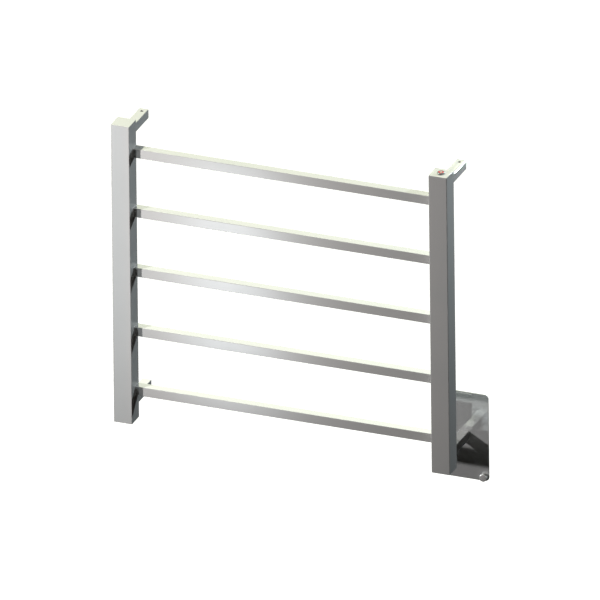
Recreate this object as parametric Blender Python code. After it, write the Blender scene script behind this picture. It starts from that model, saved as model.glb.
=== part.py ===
"""Wall-mounted, electrically heated towel rack.

Frame: X to the right, Y towards the wall (the wall's face is the plane y = 0), Z up.
The origin lies in the wall plane, midway between the uprights and at half their height.
"""

import math

import bmesh
import bpy
from mathutils import Matrix, Vector

MM = 0.001

# Driving dimensions
GAP = 0.3 * MM                      # clearance between touching pieces
RACK_WIDTH = 550 * MM               # over the outsides of both uprights
RACK_HEIGHT = 500 * MM
RACK_DEPTH = 100 * MM               # from the wall to the uprights' fronts
UPRIGHT_SIZE = 30 * MM
UPRIGHT_WALL = 1.5 * MM
UPRIGHT_CORNER = 1.0 * MM
BAR_SIZE = 15 * MM
BAR_WALL = 1.2 * MM
BAR_CORNER = 0.8 * MM
BAR_COUNT = 5
BAR_PITCH = 100 * MM
ARM_SIZE = 15 * MM
ARM_WALL = 1.5 * MM
ARM_CORNER = 0.8 * MM
ARM_INSET = 15 * MM                 # from an upright's end to the arm's near side
CABLE_HOLE_RADIUS = 4.5 * MM

# End caps
CAP_THICKNESS = 1.5 * MM
CAP_RIM_DEPTH = 4 * MM
CAP_RIM_WALL = 2 * MM

# Wall fixings
SPIGOT_LENGTH = 18 * MM
SPIGOT_BORE_RADIUS = 2.25 * MM
SPIGOT_HEAD_RADIUS = 4.1 * MM
SPIGOT_HEAD_DEPTH = 5 * MM
SET_SCREW_HOLE_RADIUS = 2.5 * MM
SET_SCREW_RADIUS = 2.2 * MM
SET_SCREW_SEAT = 2.4 * MM           # depth of the seat in the spigot
SET_SCREW_SUNK = 0.8 * MM           # its top lies this far below the arm's face
SET_SCREW_FROM_WALL = 9 * MM
SOCKET_RADIUS = 1.4 * MM
SOCKET_DEPTH = 1.6 * MM

# Cover plate and its nuts
PLATE_WIDTH = 80 * MM
PLATE_HEIGHT = 145 * MM
PLATE_THICKNESS = 1.5 * MM
PLATE_CORNER = 7 * MM
PLATE_STUD_HOLE_RADIUS = 2.5 * MM
NUT_INSET = 7.7 * MM                # from the plate's edges to a nut's axis
NUT_RADIUS = 6 * MM
NUT_LENGTH = 7.7 * MM
NUT_CHAMFER = 0.8 * MM
NUT_BORE_RADIUS = 2 * MM
NUT_BORE_DEPTH = 5 * MM
GROMMET_LENGTH = 10 * MM

# Switch, with heights measured from the top of the right upright
BEZEL_RADIUS = 6 * MM
BEZEL_HEIGHT = 1.5 * MM
BEZEL_CHAMFER = 0.4 * MM
BARREL_RADIUS = 4.8 * MM
BARREL_LENGTH = 12 * MM
RING_RADIUS = 4.1 * MM
RING_HEIGHT = 0.8 * MM
RING_LEDGE = 0.6 * MM
BUTTON_RADIUS = 3.25 * MM
BUTTON_TOP = 1.9 * MM
BUTTON_CHAMFER = 0.2 * MM
SHOULDER_DEPTH = 2 * MM             # where the housing's bore widens
FLANGE_RADIUS = 3.9 * MM
FLANGE_THICKNESS = 0.9 * MM
WIDE_BORE_RADIUS = 4.2 * MM
STEM_RADIUS = 1.2 * MM
STEM_END = 8.5 * MM
SPRING_RADIUS = 2.6 * MM
SPRING_WIRE_RADIUS = 0.2 * MM
SPRING_TURNS = 5
BASE_TOP = 10.5 * MM
BASE_END = 14 * MM
TERMINAL_SIZE = (1.6 * MM, 0.5 * MM, 5 * MM)
TERMINAL_CIRCLE = 2.6 * MM
TERMINAL_COUNT = 4
HEX_NUT_RADIUS = 7.2 * MM
HEX_NUT_THICKNESS = 2.5 * MM

# Heating cable, leads and what joins them
HEATER_RADIUS = 2 * MM
HEATER_BEND = 12 * MM
HEATER_RUN_IN = 12.5 * MM           # how far the cable's turns reach into an upright
SLEEVE_RADIUS = 3 * MM
SLEEVE_LENGTH = 16 * MM
SLEEVE_ABOVE_BAR = 18 * MM          # from the lowest bar's axis to the joint sleeve
END_SEAL_RADIUS = 3.5 * MM
END_SEAL_LENGTH = 14 * MM
CUTOUT_SIZE = (8 * MM, 5 * MM, 18 * MM)
CLIP_THICKNESS = 0.4 * MM
CLIP_FOOT = 4 * MM
CLIP_LENGTH = 8 * MM
SUPPLY_RADIUS = 2.5 * MM
SUPPLY_HOLE_RADIUS = 2.8 * MM
SUPPLY_BEND = 9 * MM
LEAD_RADIUS = 1.2 * MM
LEAD_BEND = 5 * MM
EARTH_LEAD_RADIUS = 1.0 * MM
EARTH_LEAD_LENGTH = 40 * MM
SUPPLY_OFFSET_X = 7 * MM            # the supply lead climbs the upright's far front corner
SUPPLY_OFFSET_Y = -5 * MM
LEAD_OFFSET_Y = -3 * MM             # the switched lead runs in front of the upright's axis
CUTOUT_OFFSET_X = -3 * MM
STUD_RADIUS = 1.7 * MM
STUD_LENGTH = 8 * MM
TAG_RADIUS = 4 * MM
TAG_THICKNESS = 0.8 * MM
TAG_REACH = 9 * MM
TAG_TAIL_WIDTH = 4 * MM
EARTH_NUT_RADIUS = 3.2 * MM
EARTH_NUT_THICKNESS = 2.4 * MM

# Facets
CORNER_STEPS = 2
PLATE_CORNER_STEPS = 6
ROUND_SIDES = 32
SMALL_SIDES = 16
BEND_STEPS = 4
SPRING_STEPS = 12
HEX_POINTS = 24                     # points round a hexagon, a multiple of six
EARTH_NUT_POINTS = 12

# Places worked out from the sizes above
UPRIGHT_X = (RACK_WIDTH - UPRIGHT_SIZE) / 2
UPRIGHT_Y = -RACK_DEPTH + UPRIGHT_SIZE / 2
UPRIGHT_BACK = -RACK_DEPTH + UPRIGHT_SIZE
INNER_FACE_X = UPRIGHT_X - UPRIGHT_SIZE / 2
BAR_Y = UPRIGHT_BACK - BAR_SIZE / 2
TOP = RACK_HEIGHT / 2
ARM_Z = TOP - ARM_INSET - ARM_SIZE / 2
SUPPLY_X = UPRIGHT_X + SUPPLY_OFFSET_X
SUPPLY_Y = UPRIGHT_Y + SUPPLY_OFFSET_Y
LEAD_Y = UPRIGHT_Y + LEAD_OFFSET_Y
CUTOUT_X = UPRIGHT_X + CUTOUT_OFFSET_X

MATERIALS = {
    "polished_steel": ((0.72, 0.72, 0.70), 1.0, 0.12),
    "steel": ((0.42, 0.42, 0.42), 1.0, 0.35),
    "zinc": ((0.55, 0.56, 0.58), 1.0, 0.40),
    "brass": ((0.72, 0.53, 0.24), 1.0, 0.30),
    "rubber": ((0.03, 0.03, 0.03), 0.0, 0.75),
    "black_plastic": ((0.05, 0.05, 0.05), 0.0, 0.50),
    "red_lens": ((0.80, 0.05, 0.04), 0.0, 0.25),
    "red_sheath": ((0.45, 0.06, 0.04), 0.0, 0.55),
    "grey_sheath": ((0.25, 0.25, 0.25), 0.0, 0.55),
    "green_sheath": ((0.10, 0.35, 0.08), 0.0, 0.55),
}

ALONG_X = (0, math.pi / 2, 0)       # turns a shape's own +Z to world +X
ALONG_Y = (-math.pi / 2, 0, 0)      # turns it to world +Y
ALONG_Z = (0, 0, 0)


# Scene and materials

def clear_scene():
    for old in list(bpy.data.objects):
        bpy.data.objects.remove(old, do_unlink=True)


def make_materials():
    for name, (colour, metallic, roughness) in MATERIALS.items():
        made = bpy.data.materials.new(name)
        made.use_nodes = True
        shader = made.node_tree.nodes["Principled BSDF"]
        shader.inputs["Base Color"].default_value = (*colour, 1)
        shader.inputs["Metallic"].default_value = metallic
        shader.inputs["Roughness"].default_value = roughness


def add_object(name, shape, location, rotation, material_name):
    """Turn a bmesh into a named object with its own material."""
    bmesh.ops.recalc_face_normals(shape, faces=shape.faces)
    mesh = bpy.data.meshes.new(name)
    shape.to_mesh(mesh)
    shape.free()
    mesh.shade_smooth()
    mesh.set_sharp_from_angle(angle=math.radians(30))
    made = bpy.data.objects.new(name, mesh)
    made.location = location
    made.rotation_euler = rotation
    material = bpy.data.materials[material_name].copy()
    material.name = name + "_" + material_name
    mesh.materials.append(material)
    bpy.context.collection.objects.link(made)
    return made


def cut(target, shape):
    """Take a shape, given in world coordinates, out of an object."""
    cutter = add_object(target.name + "_cutter", shape, (0, 0, 0), ALONG_Z, "steel")
    cutter.hide_render = True
    cutter.display_type = "WIRE"
    boolean = target.modifiers.new("Cut", "BOOLEAN")
    boolean.operation = "DIFFERENCE"
    boolean.solver = "EXACT"
    boolean.object = cutter


# Outlines and basic shapes

def rounded_rectangle(width, height, radius, steps):
    """Corner arcs of a rectangle that is centred on the origin."""
    points = []
    for quarter, (side_x, side_y) in enumerate(((1, 1), (-1, 1), (-1, -1), (1, -1))):
        centre = Vector((side_x * (width / 2 - radius), side_y * (height / 2 - radius)))
        for step in range(steps + 1):
            angle = math.pi / 2 * (quarter + step / steps)
            points.append(centre + radius * Vector((math.cos(angle), math.sin(angle))))
    return points


def circle(radius, sides):
    points = []
    for step in range(sides):
        angle = 2 * math.pi * step / sides
        points.append(Vector((radius * math.cos(angle), radius * math.sin(angle))))
    return points


def stacked(levels, ring=False):
    """Skin over (outline, height) levels: capped at both ends, or closed on itself as a ring."""
    shape = bmesh.new()
    rows = []
    for outline, height in levels:
        rows.append([shape.verts.new((*point, height)) for point in outline])
    pairs = list(zip(rows, rows[1:]))
    if ring:
        pairs.append((rows[-1], rows[0]))
    else:
        shape.faces.new(rows[0])
        shape.faces.new(rows[-1])
    for here, there in pairs:
        for index in range(len(here)):
            following = (index + 1) % len(here)
            shape.faces.new((here[index], here[following], there[following], there[index]))
    return shape


def turned(profile, sides, ring=False):
    """Round shape from a profile of (radius, height) points."""
    return stacked([(circle(radius, sides), height) for radius, height in profile], ring)


def add_cylinder(shape, centre, axis, radius, length, sides):
    """Add a cylinder along an axis, centred on a point."""
    turn = Vector((0, 0, 1)).rotation_difference(Vector(axis)).to_matrix().to_4x4()
    bmesh.ops.create_cone(shape, cap_ends=True, segments=sides, radius1=radius, radius2=radius,
                          depth=length, matrix=Matrix.Translation(centre) @ turn)


def add_box(shape, centre, size):
    bmesh.ops.create_cube(shape, size=1, matrix=Matrix.Translation(centre) @ Matrix.Diagonal((*size, 1)))


def box_object(name, centre, size, material_name):
    shape = bmesh.new()
    add_box(shape, (0, 0, 0), size)
    return add_object(name, shape, centre, ALONG_Z, material_name)


def square_tube(name, size, wall, corner, start, length, rotation):
    """Square tube from a start point along a world axis."""
    outer = rounded_rectangle(size, size, corner, CORNER_STEPS)
    inner = rounded_rectangle(size - 2 * wall, size - 2 * wall, corner / 2, CORNER_STEPS)
    shape = stacked([(outer, 0), (outer, length), (inner, length), (inner, 0)], ring=True)
    return add_object(name, shape, start, rotation, "polished_steel")


def rounded_route(corners, bend):
    """Route through corner points, with each corner replaced by an arc."""
    points = [Vector(corners[0])]
    for before, corner, after in zip(corners, corners[1:], corners[2:]):
        corner = Vector(corner)
        inward = (Vector(before) - corner).normalized()
        outward = (Vector(after) - corner).normalized()
        half = inward.angle(outward) / 2
        reach = bend / math.tan(half)
        centre = corner + (inward + outward).normalized() * bend / math.sin(half)
        first = corner + inward * reach - centre
        last = corner + outward * reach - centre
        sweep = first.rotation_difference(last)
        for step in range(BEND_STEPS + 1):
            partial = sweep.copy()
            partial.angle = sweep.angle * step / BEND_STEPS
            points.append(centre + partial @ first)
    points.append(Vector(corners[-1]))
    return points


def tube_along(name, points, radius, sides_level, material_name):
    """Round cable or wire along a list of points."""
    curve = bpy.data.curves.new(name, "CURVE")
    curve.dimensions = "3D"
    curve.bevel_depth = radius
    curve.bevel_resolution = sides_level
    curve.use_fill_caps = True
    spline = curve.splines.new("POLY")
    spline.points.add(len(points) - 1)
    for point, place in zip(spline.points, points):
        point.co = (*place, 1)
    made = bpy.data.objects.new(name, curve)
    material = bpy.data.materials[material_name].copy()
    material.name = name + "_" + material_name
    curve.materials.append(material)
    bpy.context.collection.objects.link(made)
    return made


# Frame of the rack

def bar_height(index):
    return ((BAR_COUNT - 1) / 2 - index) * BAR_PITCH


def make_uprights():
    """Two tubes, each with a cable hole behind every bar."""
    length = RACK_HEIGHT - 2 * CAP_THICKNESS - 2 * GAP
    for name, side in (("left_upright", -1), ("right_upright", 1)):
        start = (side * UPRIGHT_X, UPRIGHT_Y, -length / 2)
        tube = square_tube(name, UPRIGHT_SIZE, UPRIGHT_WALL, UPRIGHT_CORNER, start, length, ALONG_Z)
        holes = bmesh.new()
        for index in range(BAR_COUNT):
            centre = (side * INNER_FACE_X, BAR_Y, bar_height(index))
            add_cylinder(holes, centre, (1, 0, 0), CABLE_HOLE_RADIUS, 4 * UPRIGHT_WALL, SMALL_SIDES)
        if side > 0:
            centre = (UPRIGHT_X, UPRIGHT_BACK, -ARM_Z)
            add_cylinder(holes, centre, (0, 1, 0), CABLE_HOLE_RADIUS, 4 * UPRIGHT_WALL, SMALL_SIDES)
        cut(tube, holes)


def make_cap(name, side, end):
    """Square cap whose rim fits inside the tube; end is 1 at the top and -1 at the bottom."""
    rim = UPRIGHT_SIZE - 2 * (UPRIGHT_WALL + GAP)
    pocket = rim - 2 * CAP_RIM_WALL
    plate = rounded_rectangle(UPRIGHT_SIZE, UPRIGHT_SIZE, UPRIGHT_CORNER, CORNER_STEPS)
    rim_outside = rounded_rectangle(rim, rim, UPRIGHT_CORNER, CORNER_STEPS)
    rim_inside = rounded_rectangle(pocket, pocket, UPRIGHT_CORNER, CORNER_STEPS)
    rim_end = CAP_THICKNESS + CAP_RIM_DEPTH
    shape = stacked([
        (plate, 0),
        (plate, CAP_THICKNESS),
        (rim_outside, CAP_THICKNESS),
        (rim_outside, rim_end),
        (rim_inside, rim_end),
        (rim_inside, CAP_THICKNESS),
    ])
    rotation = (math.pi, 0, 0) if end > 0 else ALONG_Z
    return add_object(name, shape, (side * UPRIGHT_X, UPRIGHT_Y, end * TOP), rotation, "polished_steel")


def make_caps():
    make_cap("left_top_cap", -1, 1)
    make_cap("left_bottom_cap", -1, -1)
    switch_cap = make_cap("right_top_cap", 1, 1)
    hole = bmesh.new()
    add_cylinder(hole, (UPRIGHT_X, UPRIGHT_Y, TOP), (0, 0, 1), BARREL_RADIUS + GAP, 4 * CAP_THICKNESS,
                 ROUND_SIDES)
    cut(switch_cap, hole)
    make_earth_cap()


def make_earth_cap():
    """Right bottom cap with the earth stud welded to its inner face."""
    cap = make_cap("right_bottom_cap", 1, -1)
    stud = bmesh.new()
    height = STUD_LENGTH + CAP_THICKNESS / 2
    centre = (UPRIGHT_X, UPRIGHT_Y, -TOP + CAP_THICKNESS / 2 + height / 2)
    add_cylinder(stud, centre, (0, 0, 1), STUD_RADIUS, height, SMALL_SIDES)
    cut(cap, stud)
    cap.modifiers["Cut"].operation = "UNION"


def make_bars():
    length = 2 * (INNER_FACE_X - GAP)
    for index in range(BAR_COUNT):
        start = (-length / 2, BAR_Y, bar_height(index))
        square_tube(f"bar_{index + 1}", BAR_SIZE, BAR_WALL, BAR_CORNER, start, length, ALONG_X)


# Wall arms

def make_arm(name, side, end):
    """Square tube from an upright's back to the wall."""
    length = -UPRIGHT_BACK - GAP
    start = (side * UPRIGHT_X, UPRIGHT_BACK + GAP, end * ARM_Z)
    return square_tube(name, ARM_SIZE, ARM_WALL, ARM_CORNER, start, length, ALONG_Y)


def make_spigot(name, side, end, screw_side):
    """Block inside an arm's wall end, with a bore for the wall screw and a seat for the set screw."""
    size = ARM_SIZE - 2 * (ARM_WALL + GAP)
    block = stacked([
        (rounded_rectangle(size, size, ARM_CORNER, CORNER_STEPS), 0),
        (rounded_rectangle(size, size, ARM_CORNER, CORNER_STEPS), SPIGOT_LENGTH),
    ])
    axis_x = side * UPRIGHT_X
    axis_z = end * ARM_Z
    spigot = add_object(name, block, (axis_x, -SPIGOT_LENGTH, axis_z), ALONG_Y, "zinc")
    holes = bmesh.new()
    add_cylinder(holes, (axis_x, -SPIGOT_LENGTH / 2, axis_z), (0, 1, 0), SPIGOT_BORE_RADIUS,
                 2 * SPIGOT_LENGTH, SMALL_SIDES)
    cut(spigot, holes)
    head = bmesh.new()
    add_cylinder(head, (axis_x, -SPIGOT_LENGTH, axis_z), (0, 1, 0), SPIGOT_HEAD_RADIUS,
                 2 * SPIGOT_HEAD_DEPTH, SMALL_SIDES)
    cut(spigot, head)
    seat = bmesh.new()
    add_cylinder(seat, (axis_x, -SET_SCREW_FROM_WALL, axis_z + screw_side * size / 2), (0, 0, 1),
                 SET_SCREW_HOLE_RADIUS, 2 * SET_SCREW_SEAT, SMALL_SIDES)
    cut(spigot, seat)


def make_set_screw(name, side, end, screw_side):
    """Headless screw with a hexagon socket, from the spigot's seat to just under the arm's face."""
    outer = ARM_SIZE / 2 - SET_SCREW_SUNK
    inner = ARM_SIZE / 2 - ARM_WALL - SET_SCREW_SEAT
    screw = turned([
        (SET_SCREW_RADIUS, inner),
        (SET_SCREW_RADIUS, outer),
        (SOCKET_RADIUS, outer),
        (SOCKET_RADIUS, outer - SOCKET_DEPTH),
    ], SMALL_SIDES)
    rotation = ALONG_Z if screw_side > 0 else (math.pi, 0, 0)
    add_object(name, screw, (side * UPRIGHT_X, -SET_SCREW_FROM_WALL, end * ARM_Z), rotation, "steel")


def make_wall_fixings():
    """Three arms hold spigots and set screws; the fourth, lower right, lets the cable through."""
    for name, side, end, screw_side in (
            ("upper_left", -1, 1, 1),
            ("upper_right", 1, 1, 1),
            ("lower_left", -1, -1, -1)):
        arm = make_arm(name + "_arm", side, end)
        hole = bmesh.new()
        centre = (side * UPRIGHT_X, -SET_SCREW_FROM_WALL, end * ARM_Z + screw_side * ARM_SIZE / 2)
        add_cylinder(hole, centre, (0, 0, 1), SET_SCREW_HOLE_RADIUS, 3 * ARM_WALL, SMALL_SIDES)
        cut(arm, hole)
        make_spigot(name + "_spigot", side, end, screw_side)
        make_set_screw(name + "_set_screw", side, end, screw_side)
    make_arm("lower_right_arm", 1, -1)


# Cover plate

def nut_places():
    """Lower right and upper left corners of the cover plate."""
    across = PLATE_WIDTH / 2 - NUT_INSET
    along = PLATE_HEIGHT / 2 - NUT_INSET
    return {
        "plate_nut_lower": (UPRIGHT_X + across, -ARM_Z - along),
        "plate_nut_upper": (UPRIGHT_X - across, -ARM_Z + along),
    }


def make_cover_plate():
    outline = rounded_rectangle(PLATE_WIDTH, PLATE_HEIGHT, PLATE_CORNER, PLATE_CORNER_STEPS)
    plate = add_object("cover_plate", stacked([(outline, 0), (outline, PLATE_THICKNESS)]),
                       (UPRIGHT_X, -PLATE_THICKNESS, -ARM_Z), ALONG_Y, "polished_steel")
    opening = bmesh.new()
    hole_size = ARM_SIZE + 2 * GAP
    add_box(opening, (UPRIGHT_X, 0, -ARM_Z), (hole_size, 4 * PLATE_THICKNESS, hole_size))
    for centre_x, centre_z in nut_places().values():
        add_cylinder(opening, (centre_x, 0, centre_z), (0, 1, 0), PLATE_STUD_HOLE_RADIUS,
                     4 * PLATE_THICKNESS, SMALL_SIDES)
    cut(plate, opening)


def make_plate_nuts():
    """Blind round nuts that hold the plate on the wall box's studs."""
    face = -PLATE_THICKNESS - GAP
    for name, (centre_x, centre_z) in nut_places().items():
        shape = turned([
            (NUT_RADIUS - NUT_CHAMFER, -NUT_LENGTH),
            (NUT_RADIUS, -NUT_LENGTH + NUT_CHAMFER),
            (NUT_RADIUS, 0),
            (NUT_BORE_RADIUS, 0),
            (NUT_BORE_RADIUS, -NUT_BORE_DEPTH),
        ], ROUND_SIDES)
        add_object(name, shape, (centre_x, face, centre_z), ALONG_Y, "polished_steel")


def make_grommet():
    """Square rubber plug round the supply lead, in the lower right arm's wall end."""
    size = ARM_SIZE - 2 * (ARM_WALL + GAP)
    outline = rounded_rectangle(size, size, ARM_CORNER, CORNER_STEPS)
    shape = stacked([(outline, 0), (outline, GROMMET_LENGTH)])
    place = (UPRIGHT_X, -GROMMET_LENGTH, -ARM_Z)
    grommet = add_object("cable_grommet", shape, place, ALONG_Y, "rubber")
    hole = bmesh.new()
    add_cylinder(hole, place, (0, 1, 0), SUPPLY_HOLE_RADIUS, 3 * GROMMET_LENGTH, SMALL_SIDES)
    cut(grommet, hole)


# Switch

def make_switch():
    """Push switch in the right upright's cap; heights count from the cap's top."""
    place = (UPRIGHT_X, UPRIGHT_Y, TOP)
    bezel_top = GAP + BEZEL_HEIGHT
    ring_seat = GAP + RING_LEDGE
    ring_bore = BUTTON_RADIUS + GAP
    housing = turned([
        (BARREL_RADIUS, -BARREL_LENGTH),
        (BARREL_RADIUS, GAP),
        (BEZEL_RADIUS, GAP),
        (BEZEL_RADIUS, bezel_top - BEZEL_CHAMFER),
        (BEZEL_RADIUS - BEZEL_CHAMFER, bezel_top),
        (RING_RADIUS + GAP, bezel_top),
        (RING_RADIUS + GAP, ring_seat - GAP),
        (ring_bore, ring_seat - GAP),
        (ring_bore, -SHOULDER_DEPTH),
        (WIDE_BORE_RADIUS, -SHOULDER_DEPTH),
        (WIDE_BORE_RADIUS, -BARREL_LENGTH),
    ], ROUND_SIDES, ring=True)
    add_object("switch_housing", housing, place, ALONG_Z, "polished_steel")
    ring = turned([
        (RING_RADIUS, ring_seat),
        (RING_RADIUS, ring_seat + RING_HEIGHT),
        (ring_bore, ring_seat + RING_HEIGHT),
        (ring_bore, ring_seat),
    ], ROUND_SIDES, ring=True)
    add_object("led_ring", ring, place, ALONG_Z, "red_lens")
    flange_top = -SHOULDER_DEPTH - GAP
    flange_bottom = flange_top - FLANGE_THICKNESS
    button = turned([
        (STEM_RADIUS, -STEM_END),
        (STEM_RADIUS, flange_bottom),
        (FLANGE_RADIUS, flange_bottom),
        (FLANGE_RADIUS, flange_top),
        (BUTTON_RADIUS, flange_top),
        (BUTTON_RADIUS, BUTTON_TOP - BUTTON_CHAMFER),
        (BUTTON_RADIUS - BUTTON_CHAMFER, BUTTON_TOP),
    ], ROUND_SIDES)
    add_object("button_cap", button, place, ALONG_Z, "polished_steel")
    base = turned([(FLANGE_RADIUS, -BASE_END), (FLANGE_RADIUS, -BASE_TOP)], SMALL_SIDES)
    add_object("switch_base", base, place, ALONG_Z, "black_plastic")
    make_return_spring(place, -BASE_TOP + GAP, flange_bottom - GAP)
    nut_top = -CAP_THICKNESS - GAP
    nut = hexagon_nut(HEX_NUT_RADIUS, BARREL_RADIUS + GAP, nut_top - HEX_NUT_THICKNESS, nut_top, HEX_POINTS)
    add_object("switch_nut", nut, place, ALONG_Z, "brass")
    make_terminals()


def hexagon_nut(corner_radius, bore_radius, bottom, top, points):
    return stacked([
        (hexagon_outline(corner_radius, points), bottom),
        (hexagon_outline(corner_radius, points), top),
        (circle(bore_radius, points), top),
        (circle(bore_radius, points), bottom),
    ], ring=True)


def hexagon_outline(radius, points):
    """Hexagon by its corner radius, with extra points spaced along its sides."""
    outline = []
    for step in range(points):
        angle = 2 * math.pi * step / points
        from_flat = (angle % (math.pi / 3)) - math.pi / 6
        reach = radius * math.cos(math.pi / 6) / math.cos(from_flat)
        outline.append(Vector((reach * math.cos(angle), reach * math.sin(angle))))
    return outline


def make_return_spring(place, low, high):
    points = []
    steps = SPRING_TURNS * SPRING_STEPS
    for step in range(steps + 1):
        angle = 2 * math.pi * step / SPRING_STEPS
        rise = low + SPRING_WIRE_RADIUS + (high - low - 2 * SPRING_WIRE_RADIUS) * step / steps
        points.append((SPRING_RADIUS * math.cos(angle), SPRING_RADIUS * math.sin(angle), rise))
    spring = tube_along("return_spring", points, SPRING_WIRE_RADIUS, 1, "steel")
    spring.location = place


def make_terminals():
    """Blades in a circle under the switch's base."""
    height = TOP - BASE_END - GAP - TERMINAL_SIZE[2] / 2
    for step in range(TERMINAL_COUNT):
        angle = 2 * math.pi * step / TERMINAL_COUNT
        centre = (UPRIGHT_X + TERMINAL_CIRCLE * math.cos(angle),
                  UPRIGHT_Y + TERMINAL_CIRCLE * math.sin(angle), height)
        box_object(f"switch_terminal_{step + 1}", centre, TERMINAL_SIZE, "brass")


# Heating cable and wiring

def make_heating_cable():
    """One cable from the right upright up through the bars, ending in the left upright."""
    lowest = bar_height(BAR_COUNT - 1)
    turn_x = INNER_FACE_X + HEATER_RUN_IN
    corners = [(turn_x, BAR_Y, lowest + SLEEVE_ABOVE_BAR - GAP)]
    side = 1
    for index in reversed(range(BAR_COUNT)):
        corners.append((side * turn_x, BAR_Y, bar_height(index)))
        side = -side
        corners.append((side * turn_x, BAR_Y, bar_height(index)))
    seal_start = bar_height(0) + SLEEVE_ABOVE_BAR
    corners.append((side * turn_x, BAR_Y, seal_start - GAP))
    tube_along("heating_cable", rounded_route(corners, HEATER_BEND), HEATER_RADIUS, 2, "red_sheath")
    sleeve = turned([(SLEEVE_RADIUS, 0), (SLEEVE_RADIUS, SLEEVE_LENGTH)], SMALL_SIDES)
    add_object("joint_sleeve", sleeve, (turn_x, BAR_Y, lowest + SLEEVE_ABOVE_BAR), ALONG_Z, "black_plastic")
    seal = turned([(END_SEAL_RADIUS, 0), (END_SEAL_RADIUS, END_SEAL_LENGTH)], SMALL_SIDES)
    add_object("end_seal", seal, (side * turn_x, BAR_Y, seal_start), ALONG_Z, "rubber")


def make_cutout():
    """Thermal cut-out held on the upright's back wall by a spring clip."""
    width, depth, height = CUTOUT_SIZE
    back = UPRIGHT_BACK - UPRIGHT_WALL - GAP
    bottom = bar_height(BAR_COUNT - 1) + SLEEVE_ABOVE_BAR + SLEEVE_LENGTH + GAP
    middle = bottom + height / 2
    box_object("thermal_cutout", (CUTOUT_X, back - depth / 2, middle), CUTOUT_SIZE, "black_plastic")
    half_gap = width / 2 + GAP
    front = -(depth + GAP)
    half_foot = half_gap + CLIP_THICKNESS + CLIP_FOOT
    half_outer = half_gap + CLIP_THICKNESS
    outline = [Vector(point) for point in (
        (-half_foot, 0), (-half_foot, -CLIP_THICKNESS), (-half_outer, -CLIP_THICKNESS),
        (-half_outer, front - CLIP_THICKNESS), (half_outer, front - CLIP_THICKNESS),
        (half_outer, -CLIP_THICKNESS), (half_foot, -CLIP_THICKNESS), (half_foot, 0),
        (half_gap, 0), (half_gap, front), (-half_gap, front), (-half_gap, 0))]
    clip = stacked([(outline, 0), (outline, CLIP_LENGTH)])
    add_object("cutout_clip", clip, (CUTOUT_X, back, middle - CLIP_LENGTH / 2), ALONG_Z, "steel")
    return back - depth / 2, bottom + height


def make_leads(cutout_y, cutout_top):
    """Leads from the cable outlet to the switch, and from the switch to the cut-out."""
    blade_end = TOP - BASE_END - GAP - TERMINAL_SIZE[2] - GAP
    supply = [
        (UPRIGHT_X, -GAP, -ARM_Z),
        (UPRIGHT_X, SUPPLY_Y, -ARM_Z),
        (SUPPLY_X, SUPPLY_Y, -ARM_Z + 2 * SUPPLY_BEND),
        (SUPPLY_X, SUPPLY_Y, blade_end - 2 * SUPPLY_BEND),
        (UPRIGHT_X + TERMINAL_CIRCLE + GAP, UPRIGHT_Y, blade_end),
    ]
    tube_along("supply_lead", rounded_route(supply, SUPPLY_BEND), SUPPLY_RADIUS, 2, "grey_sheath")
    lead_x = UPRIGHT_X - TERMINAL_CIRCLE
    switched = [
        (lead_x, UPRIGHT_Y, blade_end),
        (lead_x, LEAD_Y, blade_end - 2 * LEAD_BEND),
        (lead_x, LEAD_Y, cutout_top + 3 * LEAD_BEND),
        (CUTOUT_X, cutout_y, cutout_top + 2 * LEAD_BEND),
        (CUTOUT_X, cutout_y, cutout_top + GAP),
    ]
    tube_along("switched_lead", rounded_route(switched, LEAD_BEND), LEAD_RADIUS, 2, "red_sheath")


def make_earth():
    """Ring tag, its nut and the earth lead, on the right bottom cap's stud."""
    tag_bottom = -TOP + CAP_THICKNESS + GAP
    tag = turned([
        (TAG_RADIUS, 0),
        (TAG_RADIUS, TAG_THICKNESS),
        (STUD_RADIUS + GAP, TAG_THICKNESS),
        (STUD_RADIUS + GAP, 0),
    ], SMALL_SIDES, ring=True)
    tag = add_object("earth_tag", tag, (UPRIGHT_X, UPRIGHT_Y, tag_bottom), ALONG_Z, "brass")
    tail = bmesh.new()
    tail_start = (TAG_RADIUS + STUD_RADIUS + GAP) / 2
    tail_centre = (UPRIGHT_X + (tail_start + TAG_REACH) / 2, UPRIGHT_Y, tag_bottom + TAG_THICKNESS / 2)
    add_box(tail, tail_centre, (TAG_REACH - tail_start, TAG_TAIL_WIDTH, TAG_THICKNESS))
    cut(tag, tail)
    tag.modifiers["Cut"].operation = "UNION"
    nut_bottom = tag_bottom + TAG_THICKNESS + GAP
    nut = hexagon_nut(EARTH_NUT_RADIUS, STUD_RADIUS + GAP, nut_bottom, nut_bottom + EARTH_NUT_THICKNESS,
                      EARTH_NUT_POINTS)
    add_object("earth_nut", nut, (UPRIGHT_X, UPRIGHT_Y, 0), ALONG_Z, "brass")
    lead_x = UPRIGHT_X + TAG_REACH - EARTH_LEAD_RADIUS
    lead_start = tag_bottom + TAG_THICKNESS + GAP
    lead = [(lead_x, UPRIGHT_Y, lead_start), (lead_x, UPRIGHT_Y, lead_start + EARTH_LEAD_LENGTH)]
    tube_along("earth_lead", lead, EARTH_LEAD_RADIUS, 2, "green_sheath")


def main():
    clear_scene()
    make_materials()
    make_uprights()
    make_caps()
    make_bars()
    make_wall_fixings()
    make_cover_plate()
    make_plate_nuts()
    make_grommet()
    make_switch()
    make_heating_cable()
    cutout_y, cutout_top = make_cutout()
    make_leads(cutout_y, cutout_top)
    make_earth()


main()
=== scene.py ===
# Electric towel rack: finished surfaces and studio set-up around the CAD frame.
import math

import bmesh
import bpy
from mathutils import Matrix, Vector


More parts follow.
